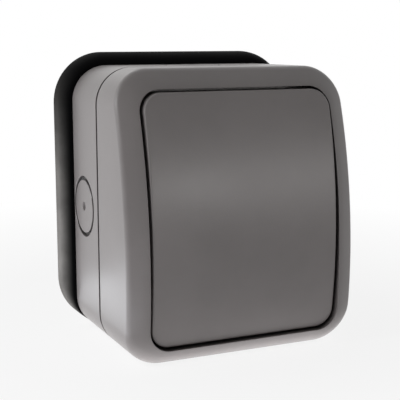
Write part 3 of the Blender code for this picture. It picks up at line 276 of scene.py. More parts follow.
class NodeNet:
    # lays out nodes and links them with few words
    def __init__(self, tree):
        self.tree = tree

    def feed(self, node, values):
        for key, value in values.items():
            if hasattr(value, "is_output"):
                self.tree.links.new(value, node.inputs[key])
            else:
                node.inputs[key].default_value = value

    def add(self, kind, values=None, **settings):
        node = self.tree.nodes.new(kind)
        for key, value in settings.items():
            setattr(node, key, value)
        self.feed(node, values or {})
        node.location = (len(self.tree.nodes) % 8 * 200, -(len(self.tree.nodes) // 8) * 240)
        return node

    def out(self, kind, values=None, socket=0, **settings):
        return self.add(kind, values, **settings).outputs[socket]

    def math(self, operation, first, second=0.0):
        return self.out("ShaderNodeMath", {0: first, 1: second}, operation=operation)

    def plus(self, first, second):
        return self.math("ADD", first, second)

    def less(self, first, second):
        return self.math("SUBTRACT", first, second)

    def times(self, first, second):
        return self.math("MULTIPLY", first, second)

    def over(self, first, second):
        return self.math("DIVIDE", first, second)

    def parts(self, vector):
        return self.add("ShaderNodeSeparateXYZ", {0: vector}).outputs

    def vector(self, **parts):
        return self.out("ShaderNodeCombineXYZ", {"XYZ".index(key.upper()): value for key, value in parts.items()})

    def ramp(self, value, fromStart, fromEnd, toStart, toEnd, **settings):
        values = {"Value": value, "From Min": fromStart, "From Max": fromEnd, "To Min": toStart, "To Max": toEnd}
        return self.out("ShaderNodeMapRange", values, **settings)

    def between(self, low, high, share):
        # a number that goes from low to high with a noise
        return self.ramp(share, 0.3, 0.7, low, high)

    def noise(self, place, scale, detail, roughness=0.5):
        values = {"Vector": place, "Scale": scale, "Detail": detail, "Roughness": roughness}
        return self.out("ShaderNodeTexNoise", values)

    def blend(self, share, *colours):
        first, second = (linear(*colour) if isinstance(colour, tuple) else colour for colour in colours)
        return self.out("ShaderNodeMix", {0: share, 6: first, 7: second}, 2, data_type="RGBA")

    def group(self, tree, values):
        return self.add("ShaderNodeGroup", values, node_tree=tree).outputs

    def close(self, values):
        self.feed(self.end, values)
        return self.tree


def linear(*levels):
    levels = [level / 255 for level in levels]
    return (*(v / 12.92 if v <= 0.04045 else ((v + 0.055) / 1.055) ** 2.4 for v in levels), 1.0)


def newTree(kind, name, inputs, outputs):
    # an input is given by its value, or by its kind where it has none
    tree = bpy.data.node_groups.new(name, kind)
    for label, value in inputs.items():
        socket = {float: "Float", int: "Int"}.get(type(value), value)
        made = tree.interface.new_socket(label, in_out="INPUT", socket_type="NodeSocket" + socket)
        if socket != value:
            made.default_value = value
    for label, socket in outputs.items():
        tree.interface.new_socket(label, in_out="OUTPUT", socket_type="NodeSocket" + socket)
    net = NodeNet(tree)
    net.given, net.end = tree.nodes.new("NodeGroupInput").outputs, tree.nodes.new("NodeGroupOutput")
    return net


def shapeTree(name, inputs):
    return newTree("GeometryNodeTree", name, {"Geometry": "Geometry", **inputs, "material": "Material"},
                   {"Geometry": "Geometry"})


def effectGroup(name, inputs, *outputs):
    return newTree("ShaderNodeTree", name, inputs, dict.fromkeys(outputs, "Float"))


def onePlainMesh(net, geometry):
    whole = net.out("GeometryNodeRealizeInstances", {0: geometry})
    painted = {"Geometry": whole, "Material": net.given["material"]}
    return net.close({0: net.out("GeometryNodeSetMaterial", painted)})


def applyTree(piece, tree, values):
    step = piece.modifiers.new(tree.name, "NODES")
    step.node_group = tree
    for item in tree.interface.items_tree:
        if item.in_out == "INPUT" and item.name in values:
            step[item.identifier] = values[item.name]
    return bake(piece)


def frontArcTree():
    # bends a flat front to one arc seen from the side
    net = shapeTree("frontArc", {"arc radius": 0.17, "crown height": 0.0})
    radius = net.given["arc radius"]
    height = net.parts(net.out("GeometryNodeInputPosition"))[2]
    fall = net.out("GeometryNodeInputNamedAttribute", {"Name": "fall"}, data_type="FLOAT")
    off = net.less(height, net.given["crown height"])
    rise = net.math("SQRT", net.less(net.times(radius, radius), net.times(off, off)))
    offset = net.vector(y=net.times(net.less(radius, rise), fall))
    bent = {"Geometry": net.given["Geometry"], "Offset": offset}
    return onePlainMesh(net, net.out("GeometryNodeSetPosition", bent))


def curveFront(piece, paint):
    applyTree(piece, frontArc, {
        "arc radius": sizes["frontRadius"], "crown height": sizes["crownHeight"], "material": paint})


# Materials

def moulderGrain():
    # the fine stipple that a spark eroded mould leaves, and slow clouds in its gloss
    net = effectGroup("moulderGrain", {"place": "Vector", "grain scale": 1500.0, "cloud scale": 40.0},
                      "height", "cloud")
    place, scale = net.given["place"], net.given["grain scale"]
    pits = net.out("ShaderNodeTexVoronoi", {"Vector": place, "Scale": scale}, feature="SMOOTH_F1")
    pitShare = 0.35
    return net.close({"height": net.plus(net.noise(place, scale, 3.0, 0.6), net.times(pits, pitShare)),
                      "cloud": net.noise(place, net.given["cloud scale"], 4.0, 0.55)})


def settledDust():
    # pale dust on what faces up, broken by noise
    net = effectGroup("settledDust", {"place": "Vector", "normal": "Vector", "amount": 0.1}, "mask")
    facing = net.math("MAXIMUM", net.parts(net.given["normal"])[2], 0.0)
    patch = net.noise(net.given["place"], 220.0, 5.0)
    return net.close({"mask": net.times(net.times(facing, patch), net.given["amount"])})


def creviceShade():
    # painted shade: darker where two faces stand close together, in seams, grooves and gaps, from ambient occlusion
    net = effectGroup("creviceShade", {"reach": 0.0015, "amount": 0.8}, "mask")
    openness = net.out("ShaderNodeAmbientOcclusion", {"Distance": net.given["reach"]}, "AO", samples=6)
    return net.close({"mask": net.times(net.ramp(openness, 0.3, 0.86, 1.0, 0.0), net.given["amount"])})


def wearMarks():
    # fine lines from drawing and turning, and cloudy tarnish
    net = effectGroup("wearMarks", {"place": "Vector", "line scale": 2500.0, "tarnish scale": 260.0},
                      "height", "tarnish")
    drawn = net.out("ShaderNodeVectorMath", {0: net.given["place"], 1: (1.0, 0.06, 1.0)}, operation="MULTIPLY")
    return net.close({"height": net.noise(drawn, net.given["line scale"], 4.0, 0.65),
                      "tarnish": net.noise(net.given["place"], net.given["tarnish scale"], 5.0)})


def newMaterial(name):
    made = bpy.data.materials.new(name)
    made.use_nodes = True
    net = NodeNet(made.node_tree)
    return made, net, net.out("ShaderNodeTexCoord", None, "Object")


def finishSurface(net, look, tone, height, cloud, step, **others):
    # painted shade in the corners, a gloss that follows the clouds, and the fine relief
    shadeMask = net.group(paintedShade, {"reach": look["paintedShadeReach"] * mm, "amount": look["paintedShade"]})["mask"]
    bump = net.out("ShaderNodeBump", {"Height": height, "Strength": look["relief"], "Distance": step * mm})
    net.feed(net.tree.nodes["Principled BSDF"],
             {"Base Color": net.blend(shadeMask, tone, look["paintedShadeColour"]),
              "Roughness": net.between(*look["gloss"], cloud), "Normal": bump, **others})


def satinPlastic(name, look):
    made, net, place = newMaterial(name)
    stipple = net.group(grain, {"place": place, "grain scale": look["grain"], "cloud scale": look["clouds"]})
    cloud = stipple["cloud"]
    normal = net.out("ShaderNodeNewGeometry", None, "Normal")
    settled = net.group(dust, {"place": place, "normal": normal, "amount": look["dust"]})["mask"]
    tone = net.blend(net.between(0.0, 1.0, cloud), look["dark"], look["light"])
    # painted light: a lighter outer rim on the rubber
    if "paintedRimLight" in look:
        tone = net.blend(paintedRimLightMask(net, place, cloud, look), tone, look["paintedRimLightColour"])
    finishSurface(net, look, net.blend(settled, tone, look["dustColour"]), stipple["height"], cloud, 0.04,
                  **{"Specular IOR Level": look["shine"]})
    return made


def paintedRimLightMask(net, place, cloud, look):
    # painted light: the rubber is lighter on its outer rim, more so toward the bottom, as if lit from below
    parts = net.parts(place)
    rim = net.ramp(parts[1], *look["paintedRimLightDepth"], 0.0, look["paintedRimLight"])
    low = net.ramp(parts[2], *look["paintedRimLightHeight"], 0.0, look["paintedRimLightBottom"])
    return net.times(net.times(rim, low), net.between(*look["paintedRimLightClouds"], cloud))


def platedMetal(name, look):
    made, net, place = newMaterial(name)
    wear = net.group(marks, {"place": place, "line scale": look["lines"], "tarnish scale": look["clouds"]})
    tone = net.blend(net.between(0.0, 1.0, wear["tarnish"]), look["bright"], look["dull"])
    finishSurface(net, look, tone, wear["height"], wear["tarnish"], 0.02, Metallic=1.0)
    return made


grain = moulderGrain()
dust = settledDust()
paintedShade = creviceShade()
marks = wearMarks()
# painted shade: each look's crevice colour, amount and reach darken seams, grooves and gaps
greyLook = {"dark": (126, 120, 119), "light": (134, 128, 127), "dustColour": (190, 186, 180), "dust": 0.10,
            "paintedShadeColour": (18, 17, 17), "paintedShade": 1.0, "paintedShadeReach": 1.6,
            "grain": 1700.0, "clouds": 38.0, "gloss": (0.28, 0.36), "relief": 0.5, "shine": 0.58}
rockerLook = {**greyLook, "paintedShade": 0.35, "paintedShadeReach": 0.6}  # less painted shade in the gap, so the rocker's rim stays light
# painted light lightens the rubber's outer rim toward the bottom; painted shade darkens its crevices
rubberLook = {"dark": (6, 6, 7), "light": (10, 10, 11), "dustColour": (120, 116, 110), "dust": 0.01,
              "paintedShadeColour": (6, 6, 6), "paintedShade": 0.6, "paintedShadeReach": 2.0, "paintedRimLightColour": (165, 161, 157),
              "paintedRimLight": 1.0, "paintedRimLightDepth": (-0.0085, -0.004), "paintedRimLightHeight": (0.045, -0.012), "paintedRimLightBottom": 0.6,
              "paintedRimLightClouds": (0.6, 1.4), "grain": 2600.0, "clouds": 60.0, "gloss": (0.55, 0.68),
              "relief": 0.45, "shine": 0.02}
whiteLook = {"dark": (208, 206, 198), "light": (220, 218, 211), "dustColour": (170, 165, 155), "dust": 0.1,
             "paintedShadeColour": (120, 112, 98), "paintedShade": 0.5, "paintedShadeReach": 1.0,
             "grain": 2200.0, "clouds": 70.0, "gloss": (0.4, 0.55), "relief": 0.3, "shine": 0.5}
leverLook = {"dark": (160, 58, 50), "light": (178, 66, 57), "dustColour": (190, 150, 140), "dust": 0.08,
             "paintedShadeColour": (70, 30, 26), "paintedShade": 0.5, "paintedShadeReach": 0.8,
             "grain": 2400.0, "clouds": 90.0, "gloss": (0.32, 0.45), "relief": 0.25, "shine": 0.5}
zincLook = {"bright": (202, 203, 205), "dull": (168, 168, 166), "paintedShadeColour": (70, 66, 60), "paintedShade": 0.6,
            "paintedShadeReach": 0.6, "lines": 2600.0, "clouds": 420.0, "gloss": (0.26, 0.42), "relief": 0.4}
brassLook = {"bright": (222, 192, 136), "dull": (190, 154, 96), "paintedShadeColour": (84, 62, 34), "paintedShade": 0.6,
             "paintedShadeReach": 0.6, "lines": 2200.0, "clouds": 380.0, "gloss": (0.24, 0.40), "relief": 0.35}
silverLook = {"bright": (236, 233, 228), "dull": (198, 194, 186), "paintedShadeColour": (90, 84, 76), "paintedShade": 0.5,
              "paintedShadeReach": 0.4, "lines": 3000.0, "clouds": 500.0, "gloss": (0.20, 0.36), "relief": 0.25}
greyPlastic = satinPlastic("greyPlastic", greyLook)
rockerPlastic = satinPlastic("rockerPlastic", rockerLook)
blackRubber = satinPlastic("blackRubber", rubberLook)
whiteMoulding = satinPlastic("whiteMoulding", whiteLook)
leverPlastic = satinPlastic("leverPlastic", leverLook)
zincSteel = platedMetal("zincSteel", zincLook)
brass = platedMetal("brass", brassLook)
contactSilver = platedMetal("contactSilver", silverLook)
frontArc = frontArcTree()
print("materials ready")


# Wall seal: rubber that swells from the box's side out to a lip near the wall
sealShape = {"depth": 9.0, "edgeDepth": 1.3, "sideLip": 4.2, "topLip": 4.4, "bottomLip": -0.4, "corner": 17.3,
             "backRounding": 0.5, "spigotStep": 3.0, "fit": 0.3, "insideEdge": 0.15, "topEdge": 0.3,
             "lipEdge": 0.4, "lipShare": 0.55, "backEdge": 0.2, "swellSteps": 22}


def sealLine(grow=0.0):
    s, by = inMetres(sealShape), grow * mm
    return roundedOutline(sizes["bodyWidth"] + 2 * (s["sideLip"] + by),
                          sizes["bodyHeight"] + s["topLip"] + s["bottomLip"] + 2 * by,
                          s["corner"] + by, (s["topLip"] - s["bottomLip"]) / 2)


def makeWallSeal():
    s = sealShape
    top, edge, count = s["depth"] * mm - gap, s["edgeDepth"] * mm, s["swellSteps"]
    inside, near, far = s["fit"] - s["spigotStep"], bodyLine(), sealLine()
    rings = ringsOf(bodyLine, (inside, 0.0, s["insideEdge"]), (inside, top, s["topEdge"]))
    for k in range(count + 1):
        angle = pi / 2 * k / count
        rings.append((atDepth(mixLines(near, far, sin(angle)), top - (top - edge) * (1 - cos(angle))), 0))
    rings += ringsOf(sealLine, (0.0, edge * s["lipShare"], s["lipEdge"]), (-s["backRounding"], 0.0, s["backEdge"]))
    seal = skin("wallSeal", soften(rings, closed=True), closed=True)
    complete(seal, blackRubber, "housing", "wall_seal", slot="black_rubber")


# Back box: stepped spigot, rebated rim, bosses, posts and knockouts
boxShape = {"wall": 3.0, "floor": 3.0, "shadowLine": 0.85, "shadowDepth": 0.9, "rimLip": 1.3, "rebate": 2.0,
            "ledgeSlope": 1.0, "spigotWall": 2.6, "edge": 0.35, "rimEdge": 0.15, "insideEdge": 0.5,
            "rebateEdge": 0.2, "shadowEdges": (0.12, 0.05, 0.08),
            "knockoutDepth": 19.5, "knockoutRadius": 10.2, "knockoutDrop": 0.5, "grooveWidth": 1.3,
            "grooveDepth": 1.38, "grooveEdge": 0.12, "dimpleRadius": 1.55, "dimpleDepth": 1.7,
            "dimpleBend": (0.7, 0.75), "rearKnockoutZ": 15.0, "slotX": 26.0, "slotZ": 18.0, "slotRadius": 2.2,
            "slotEnd": 0.01, "slotLength": 9.0,
            "bossRadius": 4.3, "bossEdge": 0.3, "insertHole": 3.0, "insertDepth": 9.6, "screwWay": 2.0,
            "rib": 1.6, "ribDepth": 24.0, "postZ": 29.5, "postRadius": 4.0, "postHole": 1.75, "postHoleDepth": 7.2,
            "baseBack": 15.5, "screwLength": 21.5, "earthX": 13.35, "earthZ": -35.3, "earthDepth": 8.0,
            "earthRadius": 3.9}


def knockoutCutters():
    # each is a ring groove with broken edges and a shallow centre mark
    s = inMetres(boxShape)
    halfX, halfZ = sizes["bodyWidth"] / 2, sizes["bodyHeight"] / 2
    places = []
    for angle, half, drop in ((pi / 2, halfX, s["knockoutDrop"]), (-pi / 2, halfX, s["knockoutDrop"]),
                              (0.0, halfZ, 0.0), (pi, halfZ, 0.0)):
        turn = Matrix.Rotation(angle, 4, "Y") @ Matrix.Rotation(-pi / 2, 4, "X")
        out = turn @ Vector((0, 1, 0))
        places.append(Matrix.Translation((out.x * half, -s["knockoutDepth"], out.z * half - drop)) @ turn)
    places.append(Matrix.Translation((0, 0, s["rearKnockoutZ"])))
    outer, inner = s["knockoutRadius"], s["knockoutRadius"] - s["grooveWidth"]
    edge, floor, radius, depth = s["grooveEdge"], s["grooveDepth"], s["dimpleRadius"], s["dimpleDepth"]
    groove = [(outer + edge + mm, -mm), (outer + edge, 0), (outer, edge), (outer, floor - edge),
              (outer - edge, floor), (inner + edge, floor), (inner, floor - edge),
              (inner, edge), (inner - edge, 0), (inner - edge - mm, -mm)]
    across, down = boxShape["dimpleBend"]
    dimple = [(radius + mm, -mm), (radius, 0), (radius * across, depth * down), (0, depth)]
    cutters = []
    for place in places:
        for cutter in (turned("ring", groove, 128, ring=True), turned("dimple", dimple, 48)):
            cutter.data.transform(place)
            cutters.append(cutter)
    return cutters


def makeBackBox():
    b, s = boxShape, inMetres(boxShape)
    spigot, depth = -sealShape["spigotStep"], sealShape["depth"] * mm
    low, wall, edge, rim, soft = spigot - b["spigotWall"], -b["wall"], b["edge"], b["rimEdge"], b["insideEdge"]
    rebate, ledge, shadow = seam - s["rebate"], depth + s["wall"], seam - s["shadowLine"]
    below, bottom, above = b["shadowEdges"]
    case = skin("backBox", soften(ringsOf(
        bodyLine, (spigot - 1, 0.0, 0), (spigot, 0.0, edge), (spigot, depth, edge), (0.0, depth, edge),
        (0.0, shadow, below), (-b["shadowDepth"], shadow, bottom), (-b["shadowDepth"], seam, above),
        (-b["rimLip"], seam, rim), (-b["rimLip"], rebate, rim), (wall, rebate, b["rebateEdge"]), (wall, ledge, soft),
        (low, ledge - s["ledgeSlope"], soft), (low, s["floor"], soft), (low - 1, s["floor"], 0))))
    root, half, additions = s["floor"] / 2, s["rib"] / 2, []
    for (x, z), (sideX, sideZ) in zip(screwPlaces, corners):
        radius, edge = s["bossRadius"], s["bossEdge"]
        additions.append(turned("boss", [(radius, root), (radius, boss - edge), (radius - edge, boss)], 48, (x, z)))
        for inward, start in ((s["spigotWall"] / 2 - spigot * mm, root), (s["wall"] / 2, depth + s["wall"] / 2)):
            near, far = sorted((x, sideX * (sizes["bodyWidth"] / 2 - inward)))
            additions.append(box("rib", (near, start, z - half), (far, s["ribDepth"], z + half)))
            near, far = sorted((z, sideZ * (sizes["bodyHeight"] / 2 - inward)))
            additions.append(box("rib", (x - half, start, near), (x + half, s["ribDepth"], far)))
    posts = [(0, middle + side * s["postZ"]) for side in (1, -1)]
    additions += [rod("post", s["postRadius"], root, s["baseBack"] - gap, place) for place in posts]
    additions.append(rod("earthPost", s["earthRadius"], root, s["earthDepth"], (s["earthX"], s["earthZ"])))
    combine(case, additions, "UNION")
    cutters = knockoutCutters()
    slotLine = roundedOutline(2 * s["slotRadius"], s["slotLength"], s["slotRadius"] - s["slotEnd"], 0, 10, 2)
    for place, (sideX, sideZ) in zip(screwPlaces, corners):
        cutters.append(rod("hole", s["insertHole"], boss - s["insertDepth"], boss + mm, place))
        cutters.append(rod("way", s["screwWay"], pan + gap - s["screwLength"] - mm, boss, place, 32))
        slot = skin("slot", [atDepth(slotLine, -mm), atDepth(slotLine, 2 * s["floor"])])
        slot.data.transform(Matrix.Translation((sideX * s["slotX"], 0, sideZ * s["slotZ"])))
        cutters.append(slot)
    cutters += [rod("hole", s["postHole"], s["baseBack"] - s["postHoleDepth"], s["baseBack"] + mm, place, 32)
                for place in posts]
    combine(case, cutters, "DIFFERENCE")
    complete(case, greyPlastic, "housing", "back_box", slot="grey_plastic")


# Front cover: skirt, rounded bezel and the pan under the rocker, moulded as one shell
coverShape = {"rimEdge": 0.25, "wall": 2.6, "bezelThickness": 2.4, "bezelDrop": 3.0, "bezelBulge": 1.3, "edge": 1.3,
              "bottomEdge": 4.2, "bottomReach": 15.0, "openingEdge": 0.3, "openingWall": 1.8, "bezelSide": 6.65,
              "panThickness": 2.5, "windowWidth": 16.0, "windowHeight": 12.0, "earX": 23.7, "earThickness": 2.6,
              "earHalf": 4.0, "pinRadius": 1.5, "pillarRadius": 4.3, "screwHole": 2.0, "insideEdge": 0.3,
              "skirtEdge": 0.5, "skirtShare": 3, "rimInnerEdge": 0.15, "panEdge": 0.4, "creaseSteps": 10,
              "slope": (0.65, 0.94), "slopeSteps": 11}  # the slope runs from the crease's end to the opening's lip


def edgeRounding(z):
    share = 1 - (z + sizes["bodyHeight"] / 2) / (coverShape["bottomReach"] * mm)
    share = min(max(share, 0.0), 1.0)
    share = share * share * (3 - 2 * share)
    return (coverShape["edge"] + (coverShape["bottomEdge"] - coverShape["edge"]) * share) * mm


def bezelDepth(share):
    return crown - coverShape["bezelDrop"] * mm * (1 - share) ** coverShape["bezelBulge"]


def creaseRow(step, outer, opening):
    row = []
    for (x, z), (innerX, innerZ) in zip(outer, opening):
        rounding, crease = edgeRounding(z), bezelDepth(0.0)
        endShare = rounding / (coverShape["bezelSide"] * mm)
        share = endShare * step * step
        depth = ((1 - step) ** 2 * (crease - rounding) + 2 * step * (1 - step) * crease
                 + step * step * bezelDepth(endShare))
        row.append(Vector((x + (innerX - x) * share, -depth, z + (innerZ - z) * share, 1.0)))
    return row


def makeFrontCover():
    c, s = coverShape, inMetres(coverShape)
    outer, opening = bodyLine(), openingLine()
    rim, panBack, inside = seam + gap, pan - s["panThickness"], crown - s["bezelThickness"]
    skirt = [Vector((x, -(bezelDepth(0.0) - s["bezelThickness"] - edgeRounding(z) / c["skirtShare"]), z, 1.0))
             for x, z in bodyLine(-c["wall"])]
    wall, soft = c["openingWall"], c["insideEdge"]
    rings = ringsOf(openingLine, (wall - 1, panBack, 0), (wall, panBack, soft), (wall, inside, soft, 1.0))
    rings += [(skirt, c["skirtEdge"])]
    rings += ringsOf(bodyLine, (-boxShape["wall"], rim, c["rimInnerEdge"]), (0.0, rim, c["rimEdge"]))
    rows = soften(rings + [(creaseRow(0.0, outer, opening), 0)])[:-1]
    rows += [creaseRow(k / c["creaseSteps"], outer, opening) for k in range(c["creaseSteps"] + 1)]
    start, end = c["slope"]
    for k in range(c["slopeSteps"] + 1):
        share = start + (end - start) * k / c["slopeSteps"]
        rows.append(atDepth(mixLines(outer, opening, share), bezelDepth(share), 1.0))
    lip = ringsOf(openingLine, (0.0, crown, c["openingEdge"], 1.0), (0.0, pan, c["panEdge"]), (-1, pan, 0))
    rows += soften([(rows[-1], 0)] + lip, steps=5)[1:]
    cover = skin("frontCover", rows)
    curveFront(cover, greyPlastic)
    halfX, halfZ = s["windowWidth"] / 2, s["windowHeight"] / 2
    additions = [rod("pillar", s["pillarRadius"], boss + gap, pan - mm, place) for place in screwPlaces]
    cutters = [box("window", (-halfX, panBack - mm, middle - halfZ), (halfX, pan + mm, middle + halfZ))]
    cutters += [rod("hole", s["screwHole"], boss - mm, pan + mm, place, 32) for place in screwPlaces]
    for side in (-1, 1):
        near, far = sorted((side * s["earX"], side * (s["earX"] + s["earThickness"])))
        additions.append(extruded("ear", tab(pan - mm, s["earHalf"]), near, far))
        cutters.append(bearing(s["pinRadius"] + gap, near - mm, far + mm))
    combine(cover, additions, "UNION")
    combine(cover, cutters, "DIFFERENCE")
    complete(cover, greyPlastic, "housing", "front_cover", slot="grey_plastic")


# Rocker: curved button with a deep skirt, lugs, ribs and the drive blade
rockerShape = {"gap": 1.0, "wall": 2.3, "skirt": 47.5, "edge": 0.63, "skirtEdge": 0.25, "insideEdge": 0.6,
               "faceInset": 3.0, "backInset": 1.5, "rib": 1.3, "ribX": 13.0, "ribHeight": 3.5, "ribReach": 35.0,
               "ribSteps": 24, "lugWidth": 3.9, "lugHalf": 3.3, "pinEnd": 30.2, "bladeWidth": 8.0,
               "bladeThickness": 2.0, "bladeReach": 14.0}


def frontDepth(z):
    radius = sizes["frontRadius"]
    return crown - radius + (radius ** 2 - (z - sizes["crownHeight"]) ** 2) ** 0.5


def makeRocker():
    r, s = rockerShape, inMetres(rockerShape)
    out, inner, back = -r["gap"], -r["gap"] - r["wall"], crown - s["wall"]
    button = skin("rockerButton", soften(ringsOf(
        openingLine, (out - r["faceInset"], crown, 0, 1.0), (out, crown, r["edge"], 1.0),
        (out, s["skirt"], r["skirtEdge"]), (inner, s["skirt"], r["skirtEdge"]),
        (inner, back, r["insideEdge"], 1.0), (inner - r["backInset"], back, 0, 1.0)), steps=6))
    curveFront(button, rockerPlastic)
    inside = frontDepth(middle) - s["wall"] / 2
    lugStart = (coverShape["earX"] + coverShape["earThickness"]) * mm + gap
    heights = [middle + s["ribReach"] * (2 * k / r["ribSteps"] - 1) for k in range(r["ribSteps"] + 1)]
    rib = [(frontDepth(z) - s["wall"] / 2, z) for z in heights]
    rib += [(frontDepth(z) - s["wall"] - s["ribHeight"], z) for z in reversed(heights)]
    additions, cutters = [], []
    for side in (-1, 1):
        near, far = sorted((side * lugStart, side * (lugStart + s["lugWidth"])))
        additions.append(extruded("lug", tab(inside, s["lugHalf"]), near, far))
        additions.append(extruded("rib", rib, side * s["ribX"] - s["rib"] / 2, side * s["ribX"] + s["rib"] / 2))
        near, far = sorted((side * (lugStart - mm), side * s["pinEnd"]))
        cutters.append(bearing(coverShape["pinRadius"] * mm + gap, near, far))
    tip, half = pivot - s["bladeReach"], s["bladeThickness"] / 2
    right = [(inside, 2 * half), (inside - 3 * half, half), (tip + half / 2, half), (tip, half / 2)]
    blade = [(depth, middle - z) for depth, z in right] + [(depth, middle + z) for depth, z in reversed(right)]
    additions.append(extruded("blade", blade, -s["bladeWidth"] / 2, s["bladeWidth"] / 2))
    combine(button, additions, "UNION")
    combine(button, cutters, "DIFFERENCE")
    button.data.transform(tiltAbout(Vector((0, -pivot, middle)), housing["restTilt"]))
    complete(button, rockerPlastic, "rocker_button", "rocker", slot="grey_plastic")


# Screws and inserts: one mesh for all the screws of a kind, each standing on a point at its seat
cornerNames = ("upper_left", "upper_right", "lower_left", "lower_right")
cornerSeats = [(x * housing["screwX"], z * housing["screwZ"]) for x, z in corners]
screwKinds = {
    "coverScrews": {
        "nodes": ["cover_screw_" + corner for corner in cornerNames], "slot": "zinc_steel",
        "seats": [(x, 43.8, z) for x, z in cornerSeats],
        "head radius": 3.3, "head height": 2.0, "shank radius": 1.7, "length": 21.5, "pitch": 0.7},
    "mechanismScrews": {
        "nodes": ("mechanism_screw_upper", "mechanism_screw_lower"), "slot": "zinc_steel",
        "seats": [(0.0, 19.3, 29.1), (0.0, 19.3, -29.9)],
        "head radius": 2.9, "head height": 2.0, "shank radius": 1.45, "length": 10.0, "pitch": 0.7},
    "terminalScrews": {
        "nodes": ("terminal_screw_common", "terminal_screw_upper", "terminal_screw_lower", "earth_screw"),
        "slot": "brass",
        "seats": [(13.0, 26.1, -0.4), (0.0, 26.1, 19.9), (0.0, 26.1, -20.7), (13.35, 16.6, -35.3)],
        "head radius": 2.3, "head height": 1.8, "shank radius": 1.5, "length": 5.3, "pitch": 0.5}}
screwFinish = {"thread depth": 0.18, "slot width": 0.82, "slot depth": 0.97, "edge": 0.24}
insertShape = {"seats": [(x, 29.7, z) for x, z in cornerSeats], "radius": 2.7, "length": 9.0,
               "bore": 2.0, "pitch": 0.7, "thread depth": 0.15, "teeth": 24, "knurl depth": 0.22,
               "groove depth": 0.4, "groove half": 0.7}
fineness = {"threadRings": 6.0, "shank": 28, "head": 56, "headRings": 8, "tooth": 6.0, "insertRings": 26,
            "bore": 32, "coil": 40, "wire": 14}  # faces round a form, along it, for a tooth or for a turn


def cylinder(net, around, along, radius, depth):
    values = {"Vertices": around, "Side Segments": along, "Radius": radius, "Depth": depth}
    return net.out("GeometryNodeMeshCylinder", values, fill_type="NGON")


def axisParts(net):
    # the place, its height, and its angle about the piece's own axis in turns
    where = net.out("GeometryNodeInputPosition")
    x, y, height = net.parts(where)
    return where, height, net.over(net.math("ARCTAN2", y, x), 2 * pi)


def drawnIn(net, geometry, where, radius, by):
    # pulls each point toward the axis by a distance
    share = net.less(1.0, net.over(by, radius))
    pull = net.vector(x=share, y=share, z=1.0)
    place = net.out("ShaderNodeVectorMath", {0: where, 1: pull}, operation="MULTIPLY")
    return net.out("GeometryNodeSetPosition", {"Geometry": geometry, "Position": place})


def shifted(net, geometry, height):
    return net.out("GeometryNodeTransform", {"Geometry": geometry, "Translation": net.vector(z=height)})


def cutFrom(net, first, second):
    return net.out("GeometryNodeMeshBoolean", {"Mesh 1": first, "Mesh 2": second}, operation="DIFFERENCE")


def zigzag(net, turns):
    # 0 to 1 and back once a turn
    return net.times(net.math("PINGPONG", turns, 0.5), 2.0)


def threadedRod(net, radius, length, pitch, depth, around):
    rings = net.times(net.over(length, pitch), fineness["threadRings"])
    shaft = cylinder(net, around, rings, radius, length)
    where, height, turns = axisParts(net)
    flank = zigzag(net, net.less(net.over(height, pitch), turns))
    return drawnIn(net, shaft, where, radius, net.times(flank, depth))


def onSeats(net, single, spin):
    # stands a copy on every point, turned to face the front, and makes one plain mesh of them
    turn = net.out("FunctionNodeRandomValue", {2: 0.0, 3: spin, "Seed": 7}, 1)
    return onePlainMesh(net, net.out("GeometryNodeInstanceOnPoints", {
        "Points": net.given["Geometry"], "Instance": single, "Rotation": net.vector(x=pi / 2, y=turn)}))


def screwTree():
    # cheese head with a slot, on a threaded shank
    net = shapeTree("machineScrew", dict.fromkeys((
        "head radius", "head height", "shank radius", "length", "pitch", "thread depth", "slot width",
        "slot depth", "edge"), mm))
    size = net.given
    rooted = net.plus(size["length"], size["edge"])  # reaches a little way into the head
    shank = threadedRod(net, size["shank radius"], rooted, size["pitch"], size["thread depth"], fineness["shank"])
    shank = shifted(net, shank, net.times(net.less(size["edge"], size["length"]), 0.5))
    head = cylinder(net, fineness["head"], fineness["headRings"], size["head radius"], size["head height"])
    where, half = net.out("GeometryNodeInputPosition"), net.times(size["head height"], 0.5)
    over = net.math("MAXIMUM", net.less(net.parts(where)[2], net.less(half, size["edge"])), 0.0)
    head = shifted(net, drawnIn(net, head, where, size["head radius"], over), half)
    # the slot's cutter is longer than the head and stands as far out of it as in it
    cut = net.vector(x=net.times(size["head radius"], 3.0), y=size["slot width"],
                     z=net.times(size["slot depth"], 2.0))
    slot = shifted(net, net.out("GeometryNodeMeshCube", {"Size": cut}), size["head height"])
    joined = net.add("GeometryNodeJoinGeometry", {0: cutFrom(net, head, slot)})
    net.feed(joined, {0: shank})
    return onSeats(net, joined.outputs[0], pi)


def insertTree():
    # two bands of teeth that lean opposite ways, a plain groove between them and a threaded bore
    lengths = ("radius", "length", "bore", "pitch", "thread depth", "knurl depth", "groove depth", "groove half")
    net = shapeTree("knurledInsert", {**dict.fromkeys(lengths, mm), "teeth": 24})
    size, leanTurns, pastEnds = net.given, 4.0, 1.2
    body = cylinder(net, net.times(size["teeth"], fineness["tooth"]), fineness["insertRings"], size["radius"],
                    size["length"])
    where, height, turns = axisParts(net)
    away = net.math("ABSOLUTE", height)
    lean = net.times(net.over(away, size["length"]), leanTurns)
    tooth = zigzag(net, net.plus(net.times(turns, size["teeth"]), lean))
    inGroove = net.math("LESS_THAN", away, size["groove half"])
    by = net.math("MAXIMUM", net.times(tooth, size["knurl depth"]),
                  net.times(inGroove, size["groove depth"]))
    body = drawnIn(net, body, where, size["radius"], by)
    bore = threadedRod(net, size["bore"], net.times(size["length"], pastEnds), size["pitch"],
                       size["thread depth"], fineness["bore"])
    sunk = shifted(net, cutFrom(net, body, bore), net.times(size["length"], -0.5))
    return onSeats(net, sunk, 0.2)


